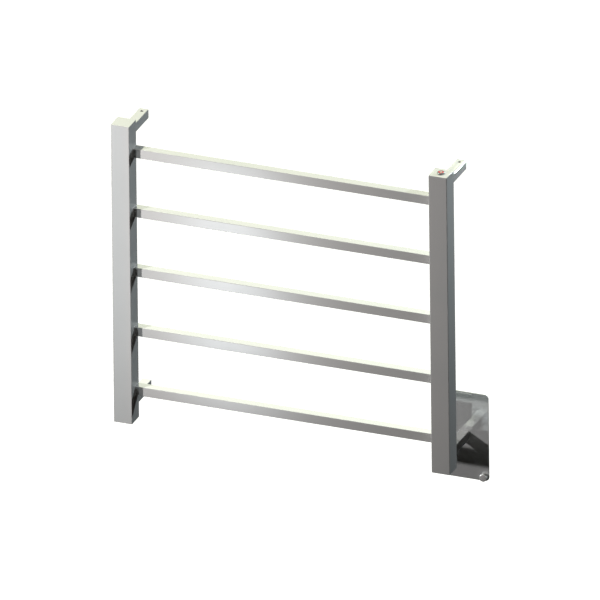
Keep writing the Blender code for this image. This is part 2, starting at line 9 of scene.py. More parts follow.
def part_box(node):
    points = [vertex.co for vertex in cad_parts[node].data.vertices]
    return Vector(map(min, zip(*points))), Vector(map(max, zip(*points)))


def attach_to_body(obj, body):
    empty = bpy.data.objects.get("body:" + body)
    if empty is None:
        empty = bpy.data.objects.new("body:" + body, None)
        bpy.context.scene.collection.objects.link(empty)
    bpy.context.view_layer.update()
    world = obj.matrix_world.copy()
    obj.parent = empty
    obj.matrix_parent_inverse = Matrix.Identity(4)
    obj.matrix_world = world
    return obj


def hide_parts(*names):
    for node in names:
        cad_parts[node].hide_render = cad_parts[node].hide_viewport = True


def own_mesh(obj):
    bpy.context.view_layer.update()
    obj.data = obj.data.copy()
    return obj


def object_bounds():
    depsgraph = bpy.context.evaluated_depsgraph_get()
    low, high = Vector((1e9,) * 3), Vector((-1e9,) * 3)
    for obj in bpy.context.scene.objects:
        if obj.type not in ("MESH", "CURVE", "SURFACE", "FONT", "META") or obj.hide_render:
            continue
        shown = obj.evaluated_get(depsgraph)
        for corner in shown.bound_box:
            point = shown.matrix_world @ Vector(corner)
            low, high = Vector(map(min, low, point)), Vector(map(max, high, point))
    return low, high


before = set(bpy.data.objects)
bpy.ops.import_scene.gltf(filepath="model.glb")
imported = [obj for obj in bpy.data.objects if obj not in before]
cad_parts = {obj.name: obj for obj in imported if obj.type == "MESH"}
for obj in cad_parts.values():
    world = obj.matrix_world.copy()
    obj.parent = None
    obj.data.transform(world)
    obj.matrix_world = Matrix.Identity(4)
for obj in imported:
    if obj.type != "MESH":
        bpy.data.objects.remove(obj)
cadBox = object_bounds()
rackBody = "rack"
mm = 0.001
print("frame loaded:", len(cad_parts), "nodes")


def boxOf(*nodes):
    # lowest and highest corner of several CAD nodes together
    lows, highs = zip(*(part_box(node) for node in nodes))
    low = Vector(min(corner[i] for corner in lows) for i in range(3))
    high = Vector(max(corner[i] for corner in highs) for i in range(3))
    return low, high


def middleOf(*nodes):
    low, high = boxOf(*nodes)
    return (low + high) / 2


# each matrix turns a shape built along its own Z to lie along the named axis
alongAxis = {
    "X": Matrix(((0, 0, 1), (1, 0, 0), (0, 1, 0))).to_4x4(),
    "Y": Matrix(((0, 1, 0), (0, 0, 1), (1, 0, 0))).to_4x4(),
    "Z": Matrix.Identity(4),
}


def roundedOutline(width, height, radius, steps=6):
    points = []
    for quarter, (sideX, sideY) in enumerate(((1, 1), (-1, 1), (-1, -1), (1, -1))):
        centre = Vector((sideX * (width / 2 - radius), sideY * (height / 2 - radius)))
        for step in range(steps + 1):
            angle = math.pi / 2 * (quarter + step / steps)
            points.append(centre + radius * Vector((math.cos(angle), math.sin(angle))))
    return points


def circleOutline(radius, sides=64):
    turns = [2 * math.pi * step / sides for step in range(sides)]
    return [Vector((radius * math.cos(turn), radius * math.sin(turn))) for turn in turns]


def skin(levels, ring=False):
    # walls between (outline, height) levels, with the ends filled or joined as a ring
    shape = bmesh.new()
    rows = [[shape.verts.new((*point, height)) for point in outline] for outline, height in levels]
    pairs = list(zip(rows, rows[1:]))
    if ring:
        pairs.append((rows[-1], rows[0]))
    else:
        shape.faces.new(rows[0])
        shape.faces.new(rows[-1])
    for here, there in pairs:
        for index in range(len(here)):
            following = (index + 1) % len(here)
            shape.faces.new((here[index], here[following], there[following], there[index]))
    bmesh.ops.recalc_face_normals(shape, faces=shape.faces)
    return shape


def roundProfile(profile, sides=64, ring=False):
    return skin([(circleOutline(radius, sides), height) for radius, height in profile], ring)


def arcProfile(centreRadius, centreHeight, radius, start, end, steps=5):
    # part of a turned profile that follows a quarter circle
    angles = [math.radians(start + (end - start) * step / steps) for step in range(steps + 1)]
    return [(centreRadius + radius * math.cos(a), centreHeight + radius * math.sin(a)) for a in angles]


def easedLevels(width, height, radius, edge, steps, cornerShare, cornerSteps=6):
    # levels of a block whose first edge is rounded, up to its full outline
    levels = []
    for step in range(steps + 1):
        turn = math.pi / 2 * step / steps
        inset = edge * (1 - math.sin(turn))
        outline = roundedOutline(width - 2 * inset, height - 2 * inset, radius - inset * cornerShare,
                                 cornerSteps)
        levels.append((outline, edge * (1 - math.cos(turn))))
    return levels


def softNormals(piece, sharpAngle=40):
    # flats keep their own direction and the small edge rounds take the shading
    piece.data.shade_smooth()
    piece.data.set_sharp_from_angle(angle=math.radians(sharpAngle))
    weighted = piece.modifiers.new("softNormals", "WEIGHTED_NORMAL")
    weighted.mode = "FACE_AREA"
    weighted.weight = 50
    weighted.keep_sharp = True


def meshPiece(name, shape, material, place=None):
    # turn a bmesh into a piece at the origin, with its place in its mesh
    if place is not None:
        shape.transform(place)
    mesh = bpy.data.meshes.new(name)
    shape.to_mesh(mesh)
    shape.free()
    piece = bpy.data.objects.new(name, mesh)
    bpy.context.scene.collection.objects.link(piece)
    mesh.materials.append(material)
    return piece


def cutAway(piece, shape):
    # boolean difference, applied at once
    cutter = meshPiece(piece.name + "Cutter", shape, piece.data.materials[0])
    boolean = piece.modifiers.new("cut", "BOOLEAN")
    boolean.operation = "DIFFERENCE"
    boolean.solver = "EXACT"
    boolean.object = cutter
    bakeModifiers(piece)
    bpy.data.objects.remove(cutter, do_unlink=True)


def bakeModifiers(piece):
    # evaluated result becomes the plain mesh, and the modifiers go
    graph = bpy.context.evaluated_depsgraph_get()
    graph.update()
    result = bpy.data.meshes.new_from_object(piece.evaluated_get(graph))
    piece.modifiers.clear()
    oldMesh = piece.data
    piece.data = result
    result.name = piece.name
    bpy.data.meshes.remove(oldMesh)


def addCylinder(shape, centre, axis, radius, length, sides=48):
    place = Matrix.Translation(centre) @ alongAxis[axis]
    bmesh.ops.create_cone(shape, cap_ends=True, segments=sides, radius1=radius, radius2=radius,
                          depth=length, matrix=place)


def pieceName(node):
    first, *others = node.split("_")
    return first + "".join(word.capitalize() for word in others)


def attach(piece, body, slot, *nodes):
    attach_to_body(piece, body)
    if nodes:
        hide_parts(*nodes)
    return piece


def newGroup(name, outputs, **inputs):
    # takes a vector and some numbers, and puts out masks and heights
    group = bpy.data.node_groups.new(name, "ShaderNodeTree")
    group.interface.new_socket("Vector", in_out="INPUT", socket_type="NodeSocketVector")
    for label, value in inputs.items():
        socket = group.interface.new_socket(label.replace("_", " "), in_out="INPUT",
                                            socket_type="NodeSocketFloat")
        socket.default_value = value
    for label in outputs:
        group.interface.new_socket(label, in_out="OUTPUT", socket_type="NodeSocketFloat")
    return group, group.nodes.new("NodeGroupInput"), group.nodes.new("NodeGroupOutput")


def addMath(tree, operation, first, second=None):
    node = tree.nodes.new("ShaderNodeMath")
    node.operation = operation
    for index, value in enumerate((first, second)):
        if isinstance(value, (int, float)):
            node.inputs[index].default_value = value
        elif value is not None:
            tree.links.new(value, node.inputs[index])
    return node.outputs["Value"]


def addNoise(tree, vector, scale, detail=3.0, roughness=0.5):
    node = tree.nodes.new("ShaderNodeTexNoise")
    node.inputs["Detail"].default_value = detail
    node.inputs["Roughness"].default_value = roughness
    if isinstance(scale, (int, float)):
        node.inputs["Scale"].default_value = scale
    else:
        tree.links.new(scale, node.inputs["Scale"])
    tree.links.new(vector, node.inputs["Vector"])
    return node.outputs["Fac"]


def remap(tree, value, low, high, toLow=0.0, toHigh=1.0):
    node = tree.nodes.new("ShaderNodeMapRange")
    node.interpolation_type = "SMOOTHSTEP"
    tree.links.new(value, node.inputs["Value"])
    node.inputs["From Min"].default_value = low
    node.inputs["From Max"].default_value = high
    node.inputs["To Min"].default_value = toLow
    node.inputs["To Max"].default_value = toHigh
    return node.outputs["Result"]


def polishLinesGroup():
    # fine and coarse lines that a polishing belt leaves; the vector is already stretched along them
    group, start, end = newGroup("polishLines", ("Lines", "Height"), Fineness=900.0)
    vector, fineness = start.outputs["Vector"], start.outputs["Fineness"]
    fine = addNoise(group, vector, fineness, 2.0, 0.6)
    coarse = addNoise(group, vector, addMath(group, "MULTIPLY", fineness, 0.21), 2.0, 0.5)
    both = addMath(group, "ADD", addMath(group, "MULTIPLY", fine, 0.65),
                   addMath(group, "MULTIPLY", coarse, 0.35))
    group.links.new(remap(group, both, 0.35, 0.65), end.inputs["Lines"])
    group.links.new(both, end.inputs["Height"])
    return group


def handlingFilmGroup():
    # faint cloudy film and the rims of dried droplets, as bathroom metal gets between two cleanings
    group, start, end = newGroup("handlingFilm", ("Cloud", "Drops"), Cloud_Scale=14.0, Drop_Scale=160.0)
    cloud = addNoise(group, start.outputs["Vector"], start.outputs["Cloud Scale"], 5.0, 0.6)
    group.links.new(remap(group, cloud, 0.42, 0.68), end.inputs["Cloud"])
    cells = group.nodes.new("ShaderNodeTexVoronoi")
    cells.feature = "F1"
    cells.inputs["Randomness"].default_value = 1.0
    group.links.new(start.outputs["Vector"], cells.inputs["Vector"])
    group.links.new(start.outputs["Drop Scale"], cells.inputs["Scale"])
    rim = addMath(group, "MULTIPLY", remap(group, cells.outputs["Distance"], 0.10, 0.17),
                  remap(group, cells.outputs["Distance"], 0.17, 0.24, 1.0, 0.0))
    chance = group.nodes.new("ShaderNodeSeparateColor")
    group.links.new(cells.outputs["Color"], chance.inputs["Color"])
    chosen = remap(group, chance.outputs["Red"], 0.80, 0.86)      # only about one cell in six has a drop
    group.links.new(addMath(group, "MULTIPLY", rim, chosen), end.inputs["Drops"])
    return group


def mouldGrainGroup():
    # fine grain of moulded plastic, rubber and cast metal, in slightly uneven patches
    group, start, end = newGroup("mouldGrain", ("Grain", "Patches"), Grain_Scale=1400.0)
    grain = addNoise(group, start.outputs["Vector"], start.outputs["Grain Scale"], 2.0, 0.7)
    group.links.new(grain, end.inputs["Grain"])
    patches = addNoise(group, start.outputs["Vector"], 60.0)
    group.links.new(remap(group, patches, 0.35, 0.65), end.inputs["Patches"])
    return group


polishLines = polishLinesGroup()
handlingFilm = handlingFilmGroup()
mouldGrain = mouldGrainGroup()


def newMaterial(name):
    material = bpy.data.materials.new(name)
    material.use_nodes = True
    tree = material.node_tree
    shader = tree.nodes["Principled BSDF"]
    coords = tree.nodes.new("ShaderNodeTexCoord")
    mapping = tree.nodes.new("ShaderNodeMapping")
    tree.links.new(coords.outputs["Object"], mapping.inputs["Vector"])
    return material, tree, shader, mapping


def placeGroup(tree, group, vector, **values):
    node = tree.nodes.new("ShaderNodeGroup")
    node.node_tree = group
    tree.links.new(vector, node.inputs["Vector"])
    for label, value in values.items():
        node.inputs[label.replace("_", " ")].default_value = value
    return node


def mixColours(tree, factor, first, second):
    node = tree.nodes.new("ShaderNodeMix")
    node.data_type = "RGBA"
    tree.links.new(factor, node.inputs[0])
    # the colour sockets come after the number and vector ones
    for socket, value in ((node.inputs[6], first), (node.inputs[7], second)):
        if isinstance(value, tuple):
            socket.default_value = (*value, 1)
        else:
            tree.links.new(value, socket)
    return node.outputs[2]


def addBump(tree, shader, height, strength, distance):
    bump = tree.nodes.new("ShaderNodeBump")
    bump.inputs["Strength"].default_value = strength
    bump.inputs["Distance"].default_value = distance
    tree.links.new(height, bump.inputs["Height"])
    tree.links.new(bump.outputs["Normal"], shader.inputs["Normal"])


def setRoughness(tree, shader, base, *shares):
    # each share is a mask and how much roughness it adds
    parts = [addMath(tree, "MULTIPLY", mask, amount) for mask, amount in shares]
    total = parts[0]
    for part in parts[1:]:
        total = addMath(tree, "ADD", total, part)
    tree.links.new(addMath(tree, "ADD", total, base), shader.inputs["Roughness"])


steelLook = {
    "colour": (0.63, 0.63, 0.62),
    "filmColour": (0.59, 0.60, 0.59),
    "filmShare": 0.6,
    "metallic": 0.60,
    "roughness": 0.04,
    "filmRoughness": 0.035,     # added where the film is thickest
    "lineRoughness": 0.03,      # added by the polishing lines
    "dropRoughness": 0.03,      # added by the dried droplets
    "fineness": 1100.0,
    "cloudScale": 9.0,
    "dropScale": 150.0,
    "lineBump": 0.25,
    "lineDepth": 0.01 * mm,
    "lineStretch": 0.012,       # the pattern's scale along the lines, against 1 across them
}


def polishedSteel(name, axis, **changes):
    look = {**steelLook, **changes}
    material, tree, shader, mapping = newMaterial(name)
    stretch = {axis: look["lineStretch"]}
    mapping.inputs["Scale"].default_value = [stretch.get(label, 1.0) for label in "XYZ"]
    lines = placeGroup(tree, polishLines, mapping.outputs["Vector"], Fineness=look["fineness"])
    plain = tree.nodes.new("ShaderNodeTexCoord")
    film = placeGroup(tree, handlingFilm, plain.outputs["Object"], Cloud_Scale=look["cloudScale"],
                      Drop_Scale=look["dropScale"])
    filmed = addMath(tree, "MULTIPLY", film.outputs["Cloud"], look["filmShare"])
    colour = mixColours(tree, filmed, look["colour"], look["filmColour"])
    tree.links.new(colour, shader.inputs["Base Color"])
    setRoughness(tree, shader, look["roughness"],
                 (lines.outputs["Lines"], look["lineRoughness"]),
                 (film.outputs["Cloud"], look["filmRoughness"]),
                 (film.outputs["Drops"], look["dropRoughness"]))
    shader.inputs["Metallic"].default_value = look["metallic"]
    addBump(tree, shader, lines.outputs["Height"], look["lineBump"], look["lineDepth"])
    return material


turnedLook = {
    "colour": steelLook["colour"],
    "filmColour": steelLook["filmColour"],
    "filmShare": 0.5,
    "metallic": 0.55,
    "roughness": 0.10,
    "filmRoughness": 0.06,
    "ringRoughness": 0.08,
    "ringScale": 9000.0,
    "cloudScale": 120.0,
    "dropScale": 600.0,
    "ringBump": 0.2,
    "ringDepth": 0.02 * mm,
}


def turnedSteel(name, centre, axis, **changes):
    # lathe lines run in circles round the axis
    look = {**turnedLook, **changes}
    material, tree, shader, mapping = newMaterial(name)
    mapping.inputs["Location"].default_value = [-value for value in centre]
    flat = tree.nodes.new("ShaderNodeVectorMath")
    flat.operation = "MULTIPLY"
    flat.inputs[1].default_value = [0.0 if label == axis else 1.0 for label in "XYZ"]
    tree.links.new(mapping.outputs["Vector"], flat.inputs[0])
    distance = tree.nodes.new("ShaderNodeVectorMath")
    distance.operation = "LENGTH"
    tree.links.new(flat.outputs["Vector"], distance.inputs[0])
    rings = tree.nodes.new("ShaderNodeTexNoise")
    rings.noise_dimensions = "1D"
    rings.inputs["Scale"].default_value = look["ringScale"]
    rings.inputs["Detail"].default_value = 1.0
    tree.links.new(distance.outputs["Value"], rings.inputs["W"])
    film = placeGroup(tree, handlingFilm, mapping.outputs["Vector"], Cloud_Scale=look["cloudScale"],
                      Drop_Scale=look["dropScale"])
    filmed = addMath(tree, "MULTIPLY", film.outputs["Cloud"], look["filmShare"])
    colour = mixColours(tree, filmed, look["colour"], look["filmColour"])
    tree.links.new(colour, shader.inputs["Base Color"])
    setRoughness(tree, shader, look["roughness"], (film.outputs["Cloud"], look["filmRoughness"]),
                 (rings.outputs["Fac"], look["ringRoughness"]))
    shader.inputs["Metallic"].default_value = look["metallic"]
    addBump(tree, shader, rings.outputs["Fac"], look["ringBump"], look["ringDepth"])
    return material


grainLook = {"scale": 900.0, "roughness": 0.2, "bump": 0.3, "depth": 0.03 * mm}


def grainedFinish(name, colour, patchColour, roughness, metallic=0.0, specular=0.5):
    # moulded plastic and rubber, and with metallic 1 the cast, plated or drawn metal of the inner pieces
    material, tree, shader, mapping = newMaterial(name)
    grain = placeGroup(tree, mouldGrain, mapping.outputs["Vector"], Grain_Scale=grainLook["scale"])
    mixed = mixColours(tree, grain.outputs["Patches"], colour, patchColour)
    tree.links.new(mixed, shader.inputs["Base Color"])
    setRoughness(tree, shader, roughness, (grain.outputs["Grain"], grainLook["roughness"]))
    shader.inputs["Metallic"].default_value = metallic
    shader.inputs["Specular IOR Level"].default_value = specular
    addBump(tree, shader, grain.outputs["Grain"], grainLook["bump"], grainLook["depth"])
    return material


lensLook = {
    "deep": (0.26, 0.002, 0.003),
    "hot": (0.80, 0.010, 0.014),
    "glow": 0.5,
    "lamps": 4.0,               # lamps behind the ring
    "specular": 0.25,
    "roughness": 0.18,
    "grainScale": 2500.0,
    "grainRoughness": 0.15,
    "grainBump": 0.15,
    "grainDepth": 0.02 * mm,
}


def litLens(name, centre):
    # red lens that glows a little more at each of the lamps behind it
    material, tree, shader, mapping = newMaterial(name)
    mapping.inputs["Location"].default_value = [-value for value in centre]
    parts = tree.nodes.new("ShaderNodeSeparateXYZ")
    tree.links.new(mapping.outputs["Vector"], parts.inputs["Vector"])
    angle = addMath(tree, "ARCTAN2", parts.outputs["Y"], parts.outputs["X"])
    waves = addMath(tree, "COSINE", addMath(tree, "MULTIPLY", angle, lensLook["lamps"]))
    colour = mixColours(tree, remap(tree, waves, -1.0, 1.0), lensLook["deep"], lensLook["hot"])
    tree.links.new(colour, shader.inputs["Base Color"])
    tree.links.new(colour, shader.inputs["Emission Color"])
    shader.inputs["Emission Strength"].default_value = lensLook["glow"]
    shader.inputs["Specular IOR Level"].default_value = lensLook["specular"]
    grain = placeGroup(tree, mouldGrain, mapping.outputs["Vector"], Grain_Scale=lensLook["grainScale"])
    setRoughness(tree, shader, lensLook["roughness"], (grain.outputs["Grain"], lensLook["grainRoughness"]))
    addBump(tree, shader, grain.outputs["Grain"], lensLook["grainBump"], lensLook["grainDepth"])
    return material


switchCentre = middleOf("switch_housing")
lowerNutCentre = middleOf("plate_nut_lower")
upperNutCentre = middleOf("plate_nut_upper")
steelUpright = polishedSteel("polishedUpright", "Z")
steelBar = polishedSteel("polishedBar", "X")
steelArm = polishedSteel("polishedArm", "Y")
steelPlate = polishedSteel("polishedPlate", "Z", colour=(0.62, 0.63, 0.63), metallic=0.66, roughness=0.015,
                           filmRoughness=0.03, lineRoughness=0.02)
steelCap = polishedSteel("polishedCap", "X")
steelSwitch = turnedSteel("turnedSwitch", switchCentre, "Z", metallic=1.0, colour=(0.46, 0.48, 0.46),
                          filmColour=(0.40, 0.42, 0.41))
steelNutLower = turnedSteel("turnedLowerNut", lowerNutCentre, "Y")
steelNutUpper = turnedSteel("turnedUpperNut", upperNutCentre, "Y")
# blackened steel for the set screws, made near-black with no sheen at all so that it also paints the shade at
# the bottom of their holes
blackSteelPaintedShade = grainedFinish("blackSteelPaintedShade", (0.006, 0.006, 0.007), (0.010, 0.010, 0.011), 0.45,
                               specular=0.0)
springSteel = grainedFinish("springSteel", (0.50, 0.50, 0.50), (0.36, 0.36, 0.37), 0.22, metallic=1.0)
castZinc = grainedFinish("castZinc", (0.48, 0.49, 0.51), (0.36, 0.37, 0.39), 0.38, metallic=1.0)
brightBrass = grainedFinish("brightBrass", (0.78, 0.58, 0.26), (0.58, 0.41, 0.17), 0.20, metallic=1.0)
blackPlastic = grainedFinish("blackPlastic", (0.035, 0.035, 0.037), (0.060, 0.060, 0.062), 0.38)
blackRubber = grainedFinish("blackRubber", (0.022, 0.022, 0.022), (0.045, 0.043, 0.042), 0.60)
redSheath = grainedFinish("redSheath", (0.42, 0.04, 0.03), (0.30, 0.03, 0.025), 0.42)
greySheath = grainedFinish("greySheath", (0.20, 0.20, 0.21), (0.14, 0.14, 0.15), 0.45)
greenSheath = grainedFinish("greenSheath", (0.08, 0.32, 0.06), (0.36, 0.36, 0.05), 0.42)
redLens = litLens("redLens", switchCentre)
print("materials made")


# geometry node trees

socketKinds = {float: "NodeSocketFloat", int: "NodeSocketInt", tuple: "NodeSocketVector"}


def newGeometryTree(name, **inputs):
    # inputs are given with their defaults, and every tree takes a material as well
    tree = bpy.data.node_groups.new(name, "GeometryNodeTree")
    tree.interface.new_socket("Geometry", in_out="INPUT", socket_type="NodeSocketGeometry")
    for label, value in inputs.items():
        socket = tree.interface.new_socket(label.replace("_", " "), in_out="INPUT",
                                           socket_type=socketKinds[type(value)])
        socket.default_value = value
    tree.interface.new_socket("Material", in_out="INPUT", socket_type="NodeSocketMaterial")
    tree.interface.new_socket("Geometry", in_out="OUTPUT", socket_type="NodeSocketGeometry")
    return tree, tree.nodes.new("NodeGroupInput"), tree.nodes.new("NodeGroupOutput")


def addNode(tree, kind, links=(), settings=(), **values):
    # values set the sockets by name; a link is (input name, source socket)
    node = tree.nodes.new(kind)
    for label, value in settings:
        setattr(node, label, value)
    for label, value in values.items():
        node.inputs[label.replace("_", " ")].default_value = value
    for label, source in links:
        tree.links.new(source, node.inputs[label])
    return node


def finishTree(tree, start, end, geometry):
    # every tree ends the same way: real geometry with its material
    realize = addNode(tree, "GeometryNodeRealizeInstances", [("Geometry", geometry)])
    paint = addNode(tree, "GeometryNodeSetMaterial", [
        ("Geometry", realize.outputs["Geometry"]), ("Material", start.outputs["Material"])])
    tree.links.new(paint.outputs["Geometry"], end.inputs["Geometry"])
    return tree


def roundedSquarePath(tree, size, radius):
    path = addNode(tree, "GeometryNodeCurvePrimitiveQuadrilateral", [("Width", size), ("Height", size)])
    rounded = addNode(tree, "GeometryNodeFilletCurve", [
        ("Curve", path.outputs["Curve"]), ("Radius", radius)], [("mode", "POLY")], Count=5)
    upright = addNode(tree, "GeometryNodeSetCurveNormal", [("Curve", rounded.outputs["Curve"])],
                      [("mode", "Z_UP")])
    return upright.outputs["Curve"]


def sweepMesh(tree, path, section, **values):
    sweep = addNode(tree, "GeometryNodeCurveToMesh", [("Curve", path), ("Profile Curve", section)], **values)
    return sweep.outputs["Mesh"]


def copiesOn(tree, points, mesh):
    copies = addNode(tree, "GeometryNodeInstanceOnPoints", [("Points", points), ("Instance", mesh)])
    return copies.outputs["Instances"]


def copiesInLine(tree, mesh, count, step):
    row = addNode(tree, "GeometryNodeMeshLine", [("Count", count), ("Offset", step)])
    return copiesOn(tree, row.outputs["Mesh"], mesh)


def runTree(name, tree, material, place=None, **values):
    # put a tree on an empty mesh, set its inputs by identifier, and keep the plain result
    mesh = bpy.data.meshes.new(name)
    piece = bpy.data.objects.new(name, mesh)
    bpy.context.scene.collection.objects.link(piece)
    modifier = piece.modifiers.new("shape", "NODES")
    modifier.node_group = tree
    wanted = {label.replace("_", " "): value for label, value in values.items()}
    wanted["Material"] = material
    for item in tree.interface.items_tree:
        if item.in_out == "INPUT" and item.name in wanted:
            modifier[item.identifier] = wanted[item.name]
    bakeModifiers(piece)
    if place is not None:
        piece.data.transform(place)
    closeSeams(piece)
    return piece


def closeSeams(piece):
    # joins doubled points and turns every face outwards
    shape = bmesh.new()
    shape.from_mesh(piece.data)
    bmesh.ops.remove_doubles(shape, verts=shape.verts, dist=0.002 * mm)
    bmesh.ops.recalc_face_normals(shape, faces=shape.faces)
    shape.to_mesh(piece.data)
    shape.free()


def squareTubeRowTree():
    # a row of equal square tubes: a wall section swept round a rounded square
    tree, start, end = newGeometryTree(
        "squareTubeRow", Size=15 * mm, Wall=1.2 * mm, Corner_Radius=0.8 * mm, Edge_Radius=0.15 * mm,
        Length=0.49, Count=5, Pitch=0.1)
    wall = start.outputs["Wall"]
    halfWall = addMath(tree, "DIVIDE", wall, 2.0)
    path = roundedSquarePath(tree, addMath(tree, "SUBTRACT", start.outputs["Size"], wall),
                             addMath(tree, "SUBTRACT", start.outputs["Corner Radius"], halfWall))
    section = addNode(tree, "GeometryNodeCurvePrimitiveQuadrilateral", [
        ("Width", wall), ("Height", start.outputs["Length"])])
    eased = addNode(tree, "GeometryNodeFilletCurve", [
        ("Curve", section.outputs["Curve"]), ("Radius", start.outputs["Edge Radius"])],
        [("mode", "POLY")], Count=2)
    tube = sweepMesh(tree, path, eased.outputs["Curve"])
    step = addNode(tree, "ShaderNodeCombineXYZ", [("Y", start.outputs["Pitch"])])
    tubes = copiesInLine(tree, tube, start.outputs["Count"], step.outputs["Vector"])
    return finishTree(tree, start, end, tubes)


def seamBeadTree():
    # small weld bead round the foot of a square tube, repeated along a line
    tree, start, end = newGeometryTree(
        "seamBeads", Size=15 * mm, Corner_Radius=0.8 * mm, Bead=0.7 * mm, Count=5, Step=(0.0, 0.1, 0.0))
    path = roundedSquarePath(tree, start.outputs["Size"], start.outputs["Corner Radius"])
    section = addNode(tree, "GeometryNodeCurvePrimitiveCircle", [("Radius", start.outputs["Bead"])],
                      Resolution=10)
    bead = sweepMesh(tree, path, section.outputs["Curve"])
    beads = copiesInLine(tree, bead, start.outputs["Count"], start.outputs["Step"])
    return finishTree(tree, start, end, beads)


def setScrewTree():
    # headless screws with a hexagon socket, repeated along a line
    tree, start, end = newGeometryTree(
        "setScrews", Radius=2.2 * mm, Length=3.7 * mm, Socket_Radius=1.4 * mm, Socket_Depth=1.6 * mm,
        Count=2, Step=(0.52, 0.0, 0.0))
    body = addNode(tree, "GeometryNodeMeshCylinder", [
        ("Radius", start.outputs["Radius"]), ("Depth", start.outputs["Length"])], Vertices=48)
    socketDepth = addMath(tree, "MULTIPLY", start.outputs["Socket Depth"], 2.0)
    socket = addNode(tree, "GeometryNodeMeshCylinder", [
        ("Radius", start.outputs["Socket Radius"]), ("Depth", socketDepth)], Vertices=6)
    halfLength = addMath(tree, "DIVIDE", start.outputs["Length"], 2.0)
    lift = addNode(tree, "ShaderNodeCombineXYZ", [("Z", halfLength)])
    raised = addNode(tree, "GeometryNodeTransform", [
        ("Geometry", socket.outputs["Mesh"]), ("Translation", lift.outputs["Vector"])])
    drilled = addNode(tree, "GeometryNodeMeshBoolean", [
        ("Mesh 1", body.outputs["Mesh"]), ("Mesh 2", raised.outputs["Geometry"])],
        [("operation", "DIFFERENCE"), ("solver", "EXACT")])
    screws = copiesInLine(tree, drilled.outputs["Mesh"], start.outputs["Count"], start.outputs["Step"])
    return finishTree(tree, start, end, screws)


def gripRibTree():
    # fine straight ribs round a turned nut
    tree, start, end = newGeometryTree(
        "gripRibs", Radius=6 * mm, Rib_Length=3 * mm, Rib_Radius=0.22 * mm, Count=60)
    rib = addNode(tree, "GeometryNodeMeshCylinder", [
        ("Radius", start.outputs["Rib Radius"]), ("Depth", start.outputs["Rib Length"])], Vertices=8)
    circle = addNode(tree, "GeometryNodeMeshCircle", [
        ("Vertices", start.outputs["Count"]), ("Radius", start.outputs["Radius"])])
    return finishTree(tree, start, end, copiesOn(tree, circle.outputs["Mesh"], rib.outputs["Mesh"]))


def coilSpringTree():
    # wire swept along a spiral
    tree, start, end = newGeometryTree(
        "coilSpring", Radius=2.6 * mm, Height=6 * mm, Turns=5.0, Wire_Radius=0.2 * mm)
    spiral = addNode(tree, "GeometryNodeCurveSpiral", [
        ("Rotations", start.outputs["Turns"]), ("Start Radius", start.outputs["Radius"]),
        ("End Radius", start.outputs["Radius"]), ("Height", start.outputs["Height"])], Resolution=40)
    section = addNode(tree, "GeometryNodeCurvePrimitiveCircle", [("Radius", start.outputs["Wire Radius"])],
                      Resolution=10)
    wire = sweepMesh(tree, spiral.outputs["Curve"], section.outputs["Curve"], Fill_Caps=True)
    return finishTree(tree, start, end, wire)


squareTubeRow = squareTubeRowTree()
seamBeads = seamBeadTree()
setScrews = setScrewTree()
gripRibs = gripRibTree()
coilSpring = coilSpringTree()
print("geometry trees made")


# uprights: drawn square tube with the bars' cable holes, closed by welded caps

uprightLook = {
    "wall": 1.5 * mm,
    "cornerRadius": 1.0 * mm,
    "edgeRadius": 0.12 * mm,     # eased edge at the seam to each cap
    "capThickness": 1.5 * mm,
    "capEdgeRadius": 0.35 * mm,
    "rimDepth": 4.0 * mm,
    "rimWall": 2.0 * mm,
    "rimSlack": 0.4 * mm,        # play between the rim and the tube it sits in
    "holeRadius": 4.5 * mm,
    "switchHoleRadius": 4.9 * mm,
}
barNodes = [f"bar_{number}" for number in range(1, 6)]
capNodes = {"left": ("left_top_cap", "left_bottom_cap"), "right": ("right_top_cap", "right_bottom_cap")}


def tubeLevels(size, wall, radius, edge, length):
    # closed square tube with eased outer ends, along its own Z from 0 to length
    outer = roundedOutline(size, size, radius)
    easedOuter = roundedOutline(size - 2 * edge, size - 2 * edge, radius - edge / 2)
    inner = roundedOutline(size - 2 * wall, size - 2 * wall, radius / 2)
    return [(outer, edge), (outer, length - edge), (easedOuter, length), (inner, length),
            (inner, 0), (easedOuter, 0)]


def buildUpright(side):
    node = side + "_upright"
    low, high = boxOf(node, *capNodes[side])
    size = high.x - low.x
    length = high.z - low.z - 2 * uprightLook["capThickness"]
    levels = tubeLevels(size, uprightLook["wall"], uprightLook["cornerRadius"],
                        uprightLook["edgeRadius"], length)
    middle = (low + high) / 2
    foot = Vector((middle.x, middle.y, low.z + uprightLook["capThickness"]))
    tube = meshPiece(side + "UprightTube", skin(levels, ring=True), steelUpright, Matrix.Translation(foot))
    holes = bmesh.new()
    innerFace = high.x if side == "left" else low.x
    for barNode in barNodes:
        bar = middleOf(barNode)
        addCylinder(holes, (innerFace, bar.y, bar.z), "X", uprightLook["holeRadius"],
                    4 * uprightLook["wall"])
    if side == "right":
        arm = middleOf("lower_right_arm")
        addCylinder(holes, (arm.x, high.y, arm.z), "Y", uprightLook["holeRadius"], 4 * uprightLook["wall"])
    cutAway(tube, holes)
    softNormals(tube)
    attach(tube, rackBody, "polished_steel", node)


def capShape(size):
    radius = uprightLook["cornerRadius"]
    thickness = uprightLook["capThickness"]
    rim = size - 2 * uprightLook["wall"] - uprightLook["rimSlack"]
    pocket = rim - 2 * uprightLook["rimWall"]
    rimEnd = thickness + uprightLook["rimDepth"]
    rimOutside = roundedOutline(rim, rim, radius)
    rimInside = roundedOutline(pocket, pocket, radius)
    levels = easedLevels(size, size, radius, uprightLook["capEdgeRadius"], 3, 0.5)
    levels += [(roundedOutline(size, size, radius), thickness), (rimOutside, thickness), (rimOutside, rimEnd),
               (rimInside, rimEnd), (rimInside, thickness)]
    return skin(levels)


